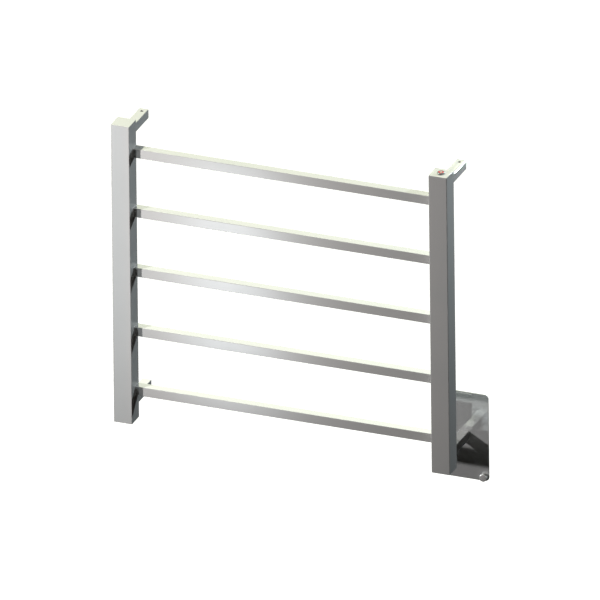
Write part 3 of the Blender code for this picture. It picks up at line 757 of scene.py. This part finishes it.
def buildCaps():
    # the right top cap is bored for the switch, and the right bottom one carries the earth stud
    for side in ("left", "right"):
        for node in capNodes[side]:
            low, high = boxOf(node)
            centre = (low + high) / 2
            if "top" in node:
                turned = Matrix.Rotation(math.pi, 4, "X")
                place = Matrix.Translation((centre.x, centre.y, high.z)) @ turned
            else:
                place = Matrix.Translation((centre.x, centre.y, low.z))
            cap = meshPiece(pieceName(node), capShape(high.x - low.x), steelCap, place)
            if node == "right_top_cap":
                hole = bmesh.new()
                addCylinder(hole, (centre.x, centre.y, high.z), "Z", uprightLook["switchHoleRadius"],
                            4 * uprightLook["capThickness"], 64)
                cutAway(cap, hole)
            softNormals(cap)
            if node == "right_bottom_cap":
                attach(earthStud(centre, low.z), rackBody, "polished_steel")
            attach(cap, rackBody, "polished_steel", node)


studLook = {
    "radius": 1.7 * mm,
    "height": 9.4 * mm,
    "sunk": 0.2 * mm,           # how far the stud's foot stands in the cap
    "footHeight": 0.6 * mm,
    "pitch": 0.7 * mm,
    "threadDepth": 0.25 * mm,
    "tip": 0.3 * mm,
}


def earthStud(centre, capBottom):
    # threaded stud that stands on the cap's inner face
    outside = studLook["radius"]
    root = outside - studLook["threadDepth"]
    pitch = studLook["pitch"]
    foot = uprightLook["capThickness"] - studLook["sunk"]
    height = foot + studLook["footHeight"]
    profile = [(outside, foot), (outside, height)]
    while height + pitch < studLook["height"]:
        profile += [(root, height + pitch / 2), (outside, height + pitch)]
        height += pitch
    profile.append((root, height + studLook["tip"]))
    place = Matrix.Translation((centre.x, centre.y, capBottom))
    stud = meshPiece("earthStud", roundProfile(profile, 32), springSteel, place)
    softNormals(stud)
    return stud


buildUpright("left")
buildUpright("right")
buildCaps()
print("uprights and caps made")


# towel bars: one row of five tubes, welded to the uprights' inner faces

barLook = {"wall": 1.2 * mm, "cornerRadius": 0.8 * mm, "edgeRadius": 0.1 * mm, "bead": 0.45 * mm}


def buildBars():
    first = middleOf(barNodes[0])
    last = middleOf(barNodes[-1])
    low, high = boxOf(barNodes[0])
    size = high.z - low.z
    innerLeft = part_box("left_upright")[1][0]
    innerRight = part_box("right_upright")[0][0]
    pitch = (first.z - last.z) / (len(barNodes) - 1)
    place = Matrix.Translation(((innerLeft + innerRight) / 2, last.y, last.z)) @ alongAxis["X"]
    bars = runTree("towelBars", squareTubeRow, steelBar, place, Size=size, Wall=barLook["wall"],
                   Corner_Radius=barLook["cornerRadius"], Edge_Radius=barLook["edgeRadius"],
                   Length=innerRight - innerLeft, Count=len(barNodes), Pitch=pitch)
    softNormals(bars)
    attach(bars, rackBody, "polished_steel", *barNodes)
    for name, faceX in (("leftBarSeams", innerLeft), ("rightBarSeams", innerRight)):
        seamPlace = Matrix.Translation((faceX, last.y, last.z)) @ alongAxis["X"]
        seams = runTree(name, seamBeads, steelBar, seamPlace, Size=size - 2 * barLook["bead"] / 3,
                        Corner_Radius=barLook["cornerRadius"], Bead=barLook["bead"],
                        Count=len(barNodes), Step=(0.0, pitch, 0.0))
        seams.data.shade_smooth()
        attach(seams, rackBody, "polished_steel")


buildBars()
print("bars made")


# wall arms, their spigots and set screws; the lower right arm holds the cable's grommet instead

armLook = {
    "wall": 1.5 * mm,
    "cornerRadius": 0.8 * mm,
    "edgeRadius": 0.15 * mm,
    "screwHoleRadius": 2.5 * mm,
    "bead": 0.45 * mm,
}
spigotLook = {
    "boreRadius": 2.25 * mm,
    "headRadius": 4.1 * mm,
    "headDepth": 5 * mm,
    "edge": 0.3 * mm,
    "seatSlack": 0.4 * mm,      # how much deeper the screw's seat is than the screw
}


def buildArm(node, screwNode=None):
    low, high = boxOf(node)
    size = high.x - low.x
    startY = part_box("left_upright")[1][1]
    levels = tubeLevels(size, armLook["wall"], armLook["cornerRadius"], armLook["edgeRadius"],
                        high.y - startY)
    middle = (low + high) / 2
    place = Matrix.Translation((middle.x, startY, middle.z)) @ alongAxis["Y"]
    arm = meshPiece(pieceName(node), skin(levels, ring=True), steelArm, place)
    if screwNode:
        screw = middleOf(screwNode)
        faceZ = high.z if screw.z > middle.z else low.z
        hole = bmesh.new()
        addCylinder(hole, (screw.x, screw.y, faceZ), "Z", armLook["screwHoleRadius"], 3 * armLook["wall"])
        cutAway(arm, hole)
    softNormals(arm)
    attach(arm, rackBody, "polished_steel", node)


def blockWithBore(node, material, bore):
    # rounded square block along Y whose bore levels are given from its front
    low, high = boxOf(node)
    size = high.x - low.x
    edge = spigotLook["edge"]
    outer = roundedOutline(size, size, armLook["cornerRadius"])
    eased = roundedOutline(size - 2 * edge, size - 2 * edge, armLook["cornerRadius"] - edge / 2)
    length = high.y - low.y
    levels = [(eased, 0), (outer, edge), (outer, length - edge), (eased, length)]
    levels += [(circleOutline(radius, len(outer)), height) for radius, height in bore(length)]
    middle = (low + high) / 2
    place = Matrix.Translation((middle.x, low.y, middle.z)) @ alongAxis["Y"]
    return meshPiece(pieceName(node), skin(levels, ring=True), material, place)


def spigotBore(length):
    narrow = spigotLook["boreRadius"]
    head = spigotLook["headRadius"]
    return [(narrow, length), (narrow, spigotLook["headDepth"]), (head, spigotLook["headDepth"]), (head, 0)]


def buildSpigot(node, screwNode):
    spigot = blockWithBore(node, castZinc, spigotBore)
    low, high = boxOf(screwNode)
    seat = bmesh.new()
    addCylinder(seat, middleOf(screwNode), "Z", armLook["screwHoleRadius"],
                high.z - low.z + spigotLook["seatSlack"])
    cutAway(spigot, seat)
    softNormals(spigot)
    attach(spigot, rackBody, "die_cast_zinc", node)


def buildSetScrews():
    low, high = boxOf("upper_left_set_screw")
    first = middleOf("upper_left_set_screw")
    across = middleOf("upper_right_set_screw") - first
    sizes = {"Radius": (high.x - low.x) / 2, "Length": high.z - low.z, "Step": across}
    # the screws take the near-black, sheenless material that paints the shade in their holes
    upper = runTree("upperSetScrews", setScrews, blackSteelPaintedShade, Matrix.Translation(first), Count=2, **sizes)
    # the lower one is turned over, so that its socket faces down
    turned = Matrix.Translation(middleOf("lower_left_set_screw")) @ Matrix.Rotation(math.pi, 4, "X")
    lower = runTree("lowerSetScrew", setScrews, blackSteelPaintedShade, turned, Count=1, **sizes)
    for piece in (upper, lower):
        softNormals(piece)
    attach(upper, rackBody, "steel", "upper_left_set_screw", "upper_right_set_screw")
    attach(lower, rackBody, "steel", "lower_left_set_screw")


def buildArmSeams():
    # weld fillets where the four arms leave the uprights
    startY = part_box("left_upright")[1][1]
    for name, node, other in (("upperArmSeams", "upper_left_arm", "upper_right_arm"),
                              ("lowerArmSeams", "lower_left_arm", "lower_right_arm")):
        first = middleOf(node)
        across = middleOf(other).x - first.x
        low, high = boxOf(node)
        place = Matrix.Translation((first.x, startY, first.z)) @ alongAxis["Y"]
        seams = runTree(name, seamBeads, steelArm, place, Size=high.x - low.x - 2 * armLook["bead"] / 3,
                        Corner_Radius=armLook["cornerRadius"], Bead=armLook["bead"], Count=2,
                        Step=(0.0, across, 0.0))
        seams.data.shade_smooth()
        attach(seams, rackBody, "polished_steel")


grommetLook = {"holeRadius": 2.6 * mm, "lip": 0.8 * mm, "lipDepth": 1.2 * mm}


def grommetBore(length):
    # a snug hole that widens to a lip towards the wall
    hole = grommetLook["holeRadius"]
    return [(hole + grommetLook["lip"], length), (hole, length - grommetLook["lipDepth"]), (hole, 0)]


for corner in ("upper_left", "upper_right", "lower_left"):
    buildArm(corner + "_arm", corner + "_set_screw")
    buildSpigot(corner + "_spigot", corner + "_set_screw")
buildArm("lower_right_arm")
grommet = blockWithBore("cable_grommet", blackRubber, grommetBore)
softNormals(grommet)
attach(grommet, rackBody, "rubber", "cable_grommet")
buildSetScrews()
buildArmSeams()
print("arms, spigots and set screws made")


# cover plate with its two round nuts

plateLook = {
    "cornerRadius": 7 * mm,
    "edgeRadius": 0.35 * mm,
    "studHoleRadius": 2.5 * mm,
    "openingRadius": 1.0 * mm,
    "slack": 0.3 * mm,          # play round the arm that passes through
}
nutLook = {
    "chamfer": 0.7 * mm,
    "dome": 0.25 * mm,          # how far the face bulges at its middle
    "bandDepth": 0.18 * mm,     # the ribbed band lies this far under the nut's full radius
    "bandStart": 1.4 * mm,
    "bandEnd": 4.6 * mm,
    "bandEase": 0.15 * mm,
    "footEase": 0.25 * mm,
    "ribRadius": 0.2 * mm,
    "ribSlack": 0.1 * mm,
    "ribCount": 64,
    "boreRadius": 2.0 * mm,
    "boreDepth": 5.0 * mm,
    "boreEase": 0.3 * mm,
}


def buildPlate():
    low, high = boxOf("cover_plate")
    thickness = high.y - low.y
    tall, wide = high.z - low.z, high.x - low.x
    corner = plateLook["cornerRadius"]
    levels = easedLevels(tall, wide, corner, plateLook["edgeRadius"], 4, 1.0, 12)
    levels.append((roundedOutline(tall, wide, corner, 12), thickness))
    middle = (low + high) / 2
    place = Matrix.Translation((middle.x, low.y, middle.z)) @ alongAxis["Y"]
    plate = meshPiece("coverPlate", skin(levels), steelPlate, place)
    armLow, armHigh = boxOf("lower_right_arm")
    armMiddle = (armLow + armHigh) / 2
    opening = armHigh.x - armLow.x + 2 * plateLook["slack"]
    outline = roundedOutline(opening, opening, plateLook["openingRadius"])
    cuts = skin([(outline, -2 * thickness), (outline, 2 * thickness)])
    cuts.transform(Matrix.Translation((armMiddle.x, middle.y, armMiddle.z)) @ alongAxis["Y"])
    for centre in (lowerNutCentre, upperNutCentre):
        addCylinder(cuts, (centre.x, middle.y, centre.z), "Y", plateLook["studHoleRadius"], 4 * thickness)
    cutAway(plate, cuts)
    softNormals(plate)
    attach(plate, rackBody, "polished_steel", "cover_plate")


def buildPlateNut(name, node, body, material):
    # turned along its own Z from the foot at 0 to the domed face, with its ribs as a piece of their own
    low, high = boxOf(node)
    radius = (high.x - low.x) / 2
    length = high.y - low.y
    chamfer, dome = nutLook["chamfer"], nutLook["dome"]
    start, end, ease = nutLook["bandStart"], nutLook["bandEnd"], nutLook["bandEase"]
    bore, boreEase, footEase = nutLook["boreRadius"], nutLook["boreEase"], nutLook["footEase"]
    band = radius - nutLook["bandDepth"]
    rim = radius - chamfer
    profile = [(rim * share, -length + dome * share * share) for share in (0.12, 0.4, 0.7, 0.9)]
    profile += arcProfile(rim, -length + dome + chamfer, chamfer, -90, 0)
    profile += [(radius, -end - ease), (band, -end), (band, -start), (radius, -start + ease)]
    profile += [(radius, -footEase), (radius - footEase, 0)]
    profile += [(bore + boreEase, 0), (bore, -boreEase), (bore, -nutLook["boreDepth"])]
    middle = (low + high) / 2
    place = Matrix.Translation((middle.x, high.y, middle.z)) @ alongAxis["Y"]
    nut = meshPiece(name, roundProfile(profile, 96), material, place)
    softNormals(nut)
    attach(nut, body, "polished_steel", node)
    bandMiddle = -(start + end) / 2
    ribPlace = Matrix.Translation((middle.x, high.y + bandMiddle, middle.z)) @ alongAxis["Y"]
    ribs = runTree(name + "Ribs", gripRibs, material, ribPlace, Radius=band, Rib_Radius=nutLook["ribRadius"],
                   Rib_Length=end - start - nutLook["ribSlack"], Count=nutLook["ribCount"])
    softNormals(ribs, 50)
    attach(ribs, body, "polished_steel")


buildPlate()
buildPlateNut("lowerPlateNut", "plate_nut_lower", "lower_plate_nut", steelNutLower)
buildPlateNut("upperPlateNut", "plate_nut_upper", "upper_plate_nut", steelNutUpper)
print("cover plate and nuts made")


# push switch in the right upright's cap

switchLook = {
    "bezelRadius": 6.0 * mm,
    "bezelEdge": 0.45 * mm,
    "bezelSlope": 0.2 * mm,     # the bezel's face falls this much towards its rim
    "bezelFoot": 0.15 * mm,
    "barrelRadius": 4.8 * mm,
    "barrelEnd": 0.4 * mm,      # chamfer at the barrel's lower end
    "threadPitch": 0.75 * mm,
    "threadDepth": 0.3 * mm,
    "threadEnd": 0.35 * mm,     # plain barrel under the bezel
    "wideBore": 4.2 * mm,
    "shoulder": -2.0 * mm,      # where the bore widens, from the cap's face
    "slack": 0.12 * mm,
    "seatDepth": 0.3 * mm,      # how far under the ring its seat lies
    "seatLip": ((0.25 * mm, 0.0), (0.05 * mm, -0.08 * mm), (0.0, -0.25 * mm)),      # out and down from its edge
    # the next four size the black band round the ring, which is painted shade on the bezel
    "shadeRingRadius": 5.4 * mm,
    "shadeRingHeight": 0.05 * mm,
    "shadeRingDepth": 0.3 * mm,
    "shadeRingEase": 0.1 * mm,
    "lensCrown": 0.12 * mm,
    "lensGapInside": 0.05 * mm,
    "lensGapOutside": 0.03 * mm,
    "fit": 0.02 * mm,
}
buttonLook = {
    "radius": 3.25 * mm,
    "stemRadius": 1.2 * mm,
    "stemChamfer": 0.2 * mm,
    "flangeRadius": 3.9 * mm,
    "flangeTop": -2.3 * mm,     # from the cap's face
    "flangeThickness": 0.9 * mm,
    "discEdge": 0.15 * mm,
    "dish": 0.3 * mm,           # depth of the hollow in the disc, and how far it stays from the edge
    "collarRadius": 2.45 * mm,
    "collarHeight": 0.8 * mm,
    "collarEdge": 0.25 * mm,
    "collarEase": 0.06 * mm,
    "gap": 0.03 * mm,
    "footGap": 0.02 * mm,
}
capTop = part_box("right_top_cap")[1][2]
ringLow, ringHigh = boxOf("led_ring")
ringSeat = (ringHigh.x - ringLow.x) / 2 + switchLook["slack"]
buttonBore = buttonLook["radius"] + switchLook["slack"]
ledge = ringLow.z - capTop - switchLook["seatDepth"]


def turnedPart(name, profile, material, body, slot, *nodes, ring=True):
    # profile heights are measured from the cap's face
    foot = Matrix.Translation((switchCentre.x, switchCentre.y, capTop))
    piece = meshPiece(name, roundProfile(profile, 96, ring), material, foot)
    softNormals(piece)
    attach(piece, body, slot, *nodes)


def buildHousing():
    look = switchLook
    low, high = boxOf("switch_housing")
    top, bottom = high.z - capTop, low.z - capTop
    barrel, bezel, edge = look["barrelRadius"], look["bezelRadius"], look["bezelEdge"]
    profile = [(barrel - look["barrelEnd"], bottom)]
    height = bottom + look["barrelEnd"]
    while height < -look["threadPitch"]:
        profile += [(barrel, height), (barrel - look["threadDepth"], height + look["threadPitch"] / 2)]
        height += look["threadPitch"]
    profile += [(barrel, -look["threadEnd"]), (barrel, 0.0)]
    profile += [(bezel - look["bezelFoot"], 0.0), (bezel, look["bezelFoot"])]
    profile += arcProfile(bezel - edge, top - look["bezelSlope"] - edge, edge, 0, 80)
    profile += [(ringSeat + out, top + down) for out, down in look["seatLip"]]
    profile += [(ringSeat, ledge), (buttonBore, ledge), (buttonBore, look["shoulder"])]
    profile += [(look["wideBore"], look["shoulder"]), (look["wideBore"], bottom)]
    turnedPart("switchHousing", profile, steelSwitch, rackBody, "polished_steel", "switch_housing")
    # a thin black band round the ring is painted shade: it stands in for the shadow on the bezel round the ring
    inside, outside, ease = ringSeat + look["fit"], look["shadeRingRadius"], look["shadeRingEase"]
    foot, rise = top - look["shadeRingDepth"], look["shadeRingHeight"]
    band = [(inside, foot), (outside, foot), (outside, top + rise / 2), (outside - ease, top + rise)]
    band += [(inside + ease, top + rise), (inside, top + rise / 2)]
    turnedPart("paintedShadeRing", band, blackPlastic, rackBody, "black_plastic")


def buildLampRing():
    top = ringHigh.z - capTop
    crown = switchLook["lensCrown"]
    inside = buttonBore + switchLook["lensGapInside"]
    outside = ringSeat - switchLook["lensGapOutside"]
    foot = ledge + switchLook["fit"]
    middle, half = (inside + outside) / 2, (outside - inside) / 2
    lens = [(inside, foot), (outside, foot)]
    for step in range(9):
        turn = math.pi * step / 8
        lens.append((middle + half * math.cos(turn), top - crown + crown * math.sin(turn)))
    turnedPart("lampRing", lens, redLens, rackBody, "red_lens", "led_ring")


def buildButton():
    look = buttonLook
    low, high = boxOf("button_cap")
    top, bottom = high.z - capTop, low.z - capTop
    radius, stem, edge = look["radius"], look["stemRadius"], look["discEdge"]
    flange, flangeTop = look["flangeRadius"], look["flangeTop"]
    flangeBottom = flangeTop - look["flangeThickness"]
    collar, collarEdge, ease = look["collarRadius"], look["collarEdge"], look["collarEase"]
    collarFoot = top - look["collarHeight"]
    disc = collar - look["gap"]
    button = [(stem - look["stemChamfer"], bottom), (stem, bottom + look["stemChamfer"])]
    button += [(stem, flangeBottom), (flange, flangeBottom), (flange, flangeTop), (radius, flangeTop)]
    button += [(radius, collarFoot - look["footGap"]), (disc, collarFoot - look["footGap"])]
    button += arcProfile(disc - edge, top - edge, edge, 0, 90)
    for share in (1.0, 0.85, 0.65, 0.4, 0.15):
        button.append(((disc - look["dish"]) * share, top - look["dish"] * (1 - share * share)))
    turnedPart("pushButton", button, steelSwitch, "button", "polished_steel", "button_cap", ring=False)
    rim = [(collar, collarFoot), (radius, collarFoot)]
    rim += arcProfile(radius - collarEdge, top - collarEdge, collarEdge, 0, 90)
    rim += [(collar + ease, top), (collar, top - ease)]
    turnedPart("buttonCollar", rim, redLens, "button", "red_lens")


springLook = {"radius": 2.6 * mm, "wireRadius": 0.2 * mm, "turns": 5.0, "travel": 1.2 * mm}


def buildSpring():
    low, high = boxOf("return_spring")
    wire = springLook["wireRadius"]
    place = Matrix.Translation((switchCentre.x, switchCentre.y, low.z + wire))
    spring = runTree("returnSpring", coilSpring, springSteel, place, Radius=springLook["radius"],
                     Wire_Radius=wire, Height=high.z - low.z - 2 * wire, Turns=springLook["turns"])
    spring.data.shade_smooth()
    attach(spring, rackBody, "steel", "return_spring")
    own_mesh(spring)


buildHousing()
buildLampRing()
buildButton()
buildSpring()
print("switch made")


# inner pieces keep their CAD shape and get their own finish

innerFinishes = {
    "heating_cable": redSheath,
    "switched_lead": redSheath,
    "supply_lead": greySheath,
    "earth_lead": greenSheath,
    "joint_sleeve": blackPlastic,
    "thermal_cutout": blackPlastic,
    "switch_base": blackPlastic,
    "end_seal": blackRubber,
    "cutout_clip": springSteel,
    "earth_tag": brightBrass,
    "earth_nut": brightBrass,
    "switch_nut": brightBrass,
    "switch_terminal_1": brightBrass,
    "switch_terminal_2": brightBrass,
    "switch_terminal_3": brightBrass,
    "switch_terminal_4": brightBrass,
}
for node, material in innerFinishes.items():
    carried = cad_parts[node]
    carried.data.materials.clear()
    carried.data.materials.append(material)
print("inner pieces finished")


# studio: pale floor far below, bright window behind, two lamps and a card that only reflections see

studioLook = {
    "floorDrop": 0.9,           # metres below the lowest piece
    "floorSize": 14.0,
    "floorColour": (0.86, 0.86, 0.86),
    "floorRoughness": 0.9,
    "floorGlow": 0.75,
    "lamps": {                  # place, power, size and colour
        "keyLight": ((-0.948, -0.905, 0.48), 143.0, 0.03, (0.985, 0.955, 0.95)),
        "backLight": ((0.56, 0.478, 0.395), 38.5, 0.02, (0.90, 1.0, 1.05)),
    },
    "window": (1.36, 1.41, 1.15),
    "windowEdge": 0.3,
    "roomLow": (0.16, 0.16, 0.155),
    "roomHigh": (0.62, 0.63, 0.62),
    "roomHeight": 0.6,
    "darkSide": (0.337, 0.839, 0.427),      # the room stays dark round this direction and its mirror images
    "darkSideEdge": (0.93, 0.98),
    "roomRest": (0.012, 0.011, 0.010),
    "backdrop": (1.0, 1.0, 1.0),
}

reflectorLook = {
    "distance": 1.2,            # in front of the wall plane
    "across": (-1.05, 0.15),
    "upright": (-0.88, -0.14),
    "fades": (0.28, 0.15, 0.04),            # width of the soft edge at the sides, the top and the foot
    "glow": (0.80, 1.02, 1.10),
    "warmGlow": (1.06, 1.0, 0.96),
    "warmEdge": (-0.697, -0.682),           # the glow turns cooler to the left of this
    "glowAcross": (-0.75, -0.10, 0.28, 0.06),
    "glowHeight": -0.45,
    "glowFade": (0.10, 0.50, 1.0, 0.40),    # from that height up and down
    "stripe": (0.93, 1.0, 1.06),
    "stripeMiddle": -0.538,
    "stripeWidth": 0.10,
    "stripeFoot": (-0.82, -0.64, 0.35, 1.0),
    "stripeTop": (-0.48, -0.32, 1.05, 0.6),
}


def buildFloor():
    height = cadBox[0].z - studioLook["floorDrop"]
    half = studioLook["floorSize"] / 2
    shape = bmesh.new()
    places = ((-half, -half), (half, -half), (half, half), (-half, half))
    shape.faces.new([shape.verts.new((x, y, height)) for x, y in places])
    material = bpy.data.materials.new("paleFloor")
    material.use_nodes = True
    shader = material.node_tree.nodes["Principled BSDF"]
    shader.inputs["Base Color"].default_value = (*studioLook["floorColour"], 1)
    shader.inputs["Roughness"].default_value = studioLook["floorRoughness"]
    shader.inputs["Emission Color"].default_value = (1, 1, 1, 1)
    shader.inputs["Emission Strength"].default_value = studioLook["floorGlow"]
    floor = meshPiece("studioFloor", shape, material)
    floor.visible_diffuse = False
    floor.visible_glossy = False


def buildSurroundings():
    # a bright window high behind on the left; mirrored rays also see a soft grey room
    look = studioLook
    world = bpy.data.worlds.new("studioRoom")
    bpy.context.scene.world = world
    world.use_nodes = True
    tree = world.node_tree
    background = tree.nodes["Background"]
    direction = tree.nodes.new("ShaderNodeTexCoord").outputs["Generated"]
    parts = tree.nodes.new("ShaderNodeSeparateXYZ")
    tree.links.new(direction, parts.inputs["Vector"])
    edge = look["windowEdge"]
    left = remap(tree, parts.outputs["X"], edge, -edge)
    back = remap(tree, parts.outputs["Y"], -edge, edge)
    up = remap(tree, parts.outputs["Z"], -edge, edge)
    window = addMath(tree, "MULTIPLY", addMath(tree, "MULTIPLY", left, back), up)
    folded = tree.nodes.new("ShaderNodeVectorMath")
    folded.operation = "ABSOLUTE"
    tree.links.new(direction, folded.inputs[0])
    towards = tree.nodes.new("ShaderNodeVectorMath")
    towards.operation = "DOT_PRODUCT"
    tree.links.new(folded.outputs["Vector"], towards.inputs[0])
    towards.inputs[1].default_value = look["darkSide"]
    aside = remap(tree, towards.outputs["Value"], *look["darkSideEdge"], 1.0, 0.0)
    path = tree.nodes.new("ShaderNodeLightPath")
    roomShare = addMath(tree, "MULTIPLY", aside, path.outputs["Is Glossy Ray"])
    height = remap(tree, parts.outputs["Z"], -look["roomHeight"], look["roomHeight"])
    room = mixColours(tree, height, look["roomLow"], look["roomHigh"])
    rest = mixColours(tree, roomShare, look["roomRest"], room)
    lit = mixColours(tree, window, rest, look["window"])
    seen = mixColours(tree, path.outputs["Is Camera Ray"], lit, look["backdrop"])
    tree.links.new(seen, background.inputs["Color"])
    background.inputs["Strength"].default_value = 1.0


def buildLights():
    for name, (place, power, size, colour) in studioLook["lamps"].items():
        lamp = bpy.data.lights.new(name, "POINT")
        lamp.energy = power
        lamp.shadow_soft_size = size
        lamp.color = colour
        lampObject = bpy.data.objects.new(name, lamp)
        lampObject.location = place
        bpy.context.scene.collection.objects.link(lampObject)


def reflectorMaterial():
    # dim card with one brighter upright stripe
    look = reflectorLook
    material = bpy.data.materials.new("reflectorCard")
    material.use_nodes = True
    tree = material.node_tree
    shader = tree.nodes["Principled BSDF"]
    shader.inputs["Base Color"].default_value = (0, 0, 0, 1)
    shader.inputs["Specular IOR Level"].default_value = 0
    shader.inputs["Emission Strength"].default_value = 1.0
    coords = tree.nodes.new("ShaderNodeTexCoord")
    parts = tree.nodes.new("ShaderNodeSeparateXYZ")
    tree.links.new(coords.outputs["Object"], parts.inputs["Vector"])
    across, height = parts.outputs["X"], parts.outputs["Z"]
    offset = addMath(tree, "ABSOLUTE", addMath(tree, "SUBTRACT", height, look["glowHeight"]))
    glow = addMath(tree, "MULTIPLY", remap(tree, across, *look["glowAcross"]),
                   remap(tree, offset, *look["glowFade"]))
    aside = addMath(tree, "SUBTRACT", across, look["stripeMiddle"])
    aside = addMath(tree, "DIVIDE", aside, look["stripeWidth"])
    squared = addMath(tree, "MULTIPLY", aside, aside)
    bell = addMath(tree, "POWER", math.e, addMath(tree, "MULTIPLY", squared, -1.0))
    span = addMath(tree, "MULTIPLY", remap(tree, height, *look["stripeFoot"]),
                   remap(tree, height, *look["stripeTop"]))
    stripe = addMath(tree, "MULTIPLY", bell, span)
    black = (0.0, 0.0, 0.0)
    tone = mixColours(tree, remap(tree, across, *look["warmEdge"]), look["glow"], look["warmGlow"])
    first = mixColours(tree, glow, black, tone)
    # a mix stops at 1, so the stripe is mixed at half its strength and doubled afterwards
    second = mixColours(tree, addMath(tree, "MULTIPLY", stripe, 0.5), black, look["stripe"])
    total = tree.nodes.new("ShaderNodeVectorMath")
    total.operation = "MULTIPLY_ADD"
    tree.links.new(second, total.inputs[0])
    total.inputs[1].default_value = (2.0, 2.0, 2.0)
    tree.links.new(first, total.inputs[2])
    tree.links.new(total.outputs["Vector"], shader.inputs["Emission Color"])
    # the card fades out towards its edges
    left, right = look["across"]
    low, high = look["upright"]
    fadeSide, fadeTop, fadeFoot = look["fades"]
    sides = addMath(tree, "MULTIPLY", remap(tree, across, left, left + fadeSide),
                    remap(tree, across, right - fadeSide, right, 1.0, 0.0))
    ends = addMath(tree, "MULTIPLY", remap(tree, height, low, low + fadeFoot),
                   remap(tree, height, high - fadeTop, high, 1.0, 0.0))
    tree.links.new(addMath(tree, "MULTIPLY", sides, ends), shader.inputs["Alpha"])
    return material


def buildReflector():
    left, right = reflectorLook["across"]
    low, high = reflectorLook["upright"]
    shape = bmesh.new()
    places = ((left, low), (right, low), (right, high), (left, high))
    shape.faces.new([shape.verts.new((x, -reflectorLook["distance"], z)) for x, z in places])
    card = meshPiece("reflector", shape, reflectorMaterial())
    card.visible_camera = False
    card.visible_diffuse = False
    card.visible_shadow = False
    card.visible_transmission = False


buildFloor()
buildSurroundings()
buildLights()
buildReflector()
print("studio made")


# camera: parallel view from the right and above

cameraLook = {
    "azimuth": 21.86,           # degrees to the right of straight on
    "elevation": 25.3,
    "roll": 0.62,
    "width": 0.913,             # metres across the picture
    "sideways": 0.0302,         # picture centre, to the right of the rack's front centre
    "distance": 3.0,
    "reach": 30.0,              # how far the camera sees
}


def buildCamera():
    azimuth = math.radians(cameraLook["azimuth"])
    elevation = math.radians(cameraLook["elevation"])
    roll = math.radians(cameraLook["roll"])
    toCamera = Vector((math.sin(azimuth) * math.cos(elevation), -math.cos(azimuth) * math.cos(elevation),
                       math.sin(elevation)))
    levelRight = Vector((math.cos(azimuth), math.sin(azimuth), 0))
    levelUp = toCamera.cross(levelRight)
    right = math.cos(roll) * levelRight - math.sin(roll) * levelUp
    up = math.sin(roll) * levelRight + math.cos(roll) * levelUp
    low, high = boxOf("left_upright", "right_upright", *capNodes["left"])
    target = Vector(((low.x + high.x) / 2, low.y, (low.z + high.z) / 2))
    place = target + cameraLook["sideways"] * right + cameraLook["distance"] * toCamera
    camera = bpy.data.cameras.new("productView")
    camera.type = "ORTHO"
    camera.ortho_scale = cameraLook["width"]
    camera.clip_end = cameraLook["reach"]
    cameraObject = bpy.data.objects.new("productView", camera)
    turn = Matrix((right, up, toCamera)).transposed().to_4x4()
    cameraObject.matrix_world = Matrix.Translation(place) @ turn
    bpy.context.scene.collection.objects.link(cameraObject)
    bpy.context.scene.camera = cameraObject


buildCamera()
bpy.context.scene.view_settings.view_transform = "Standard"
print("camera set")
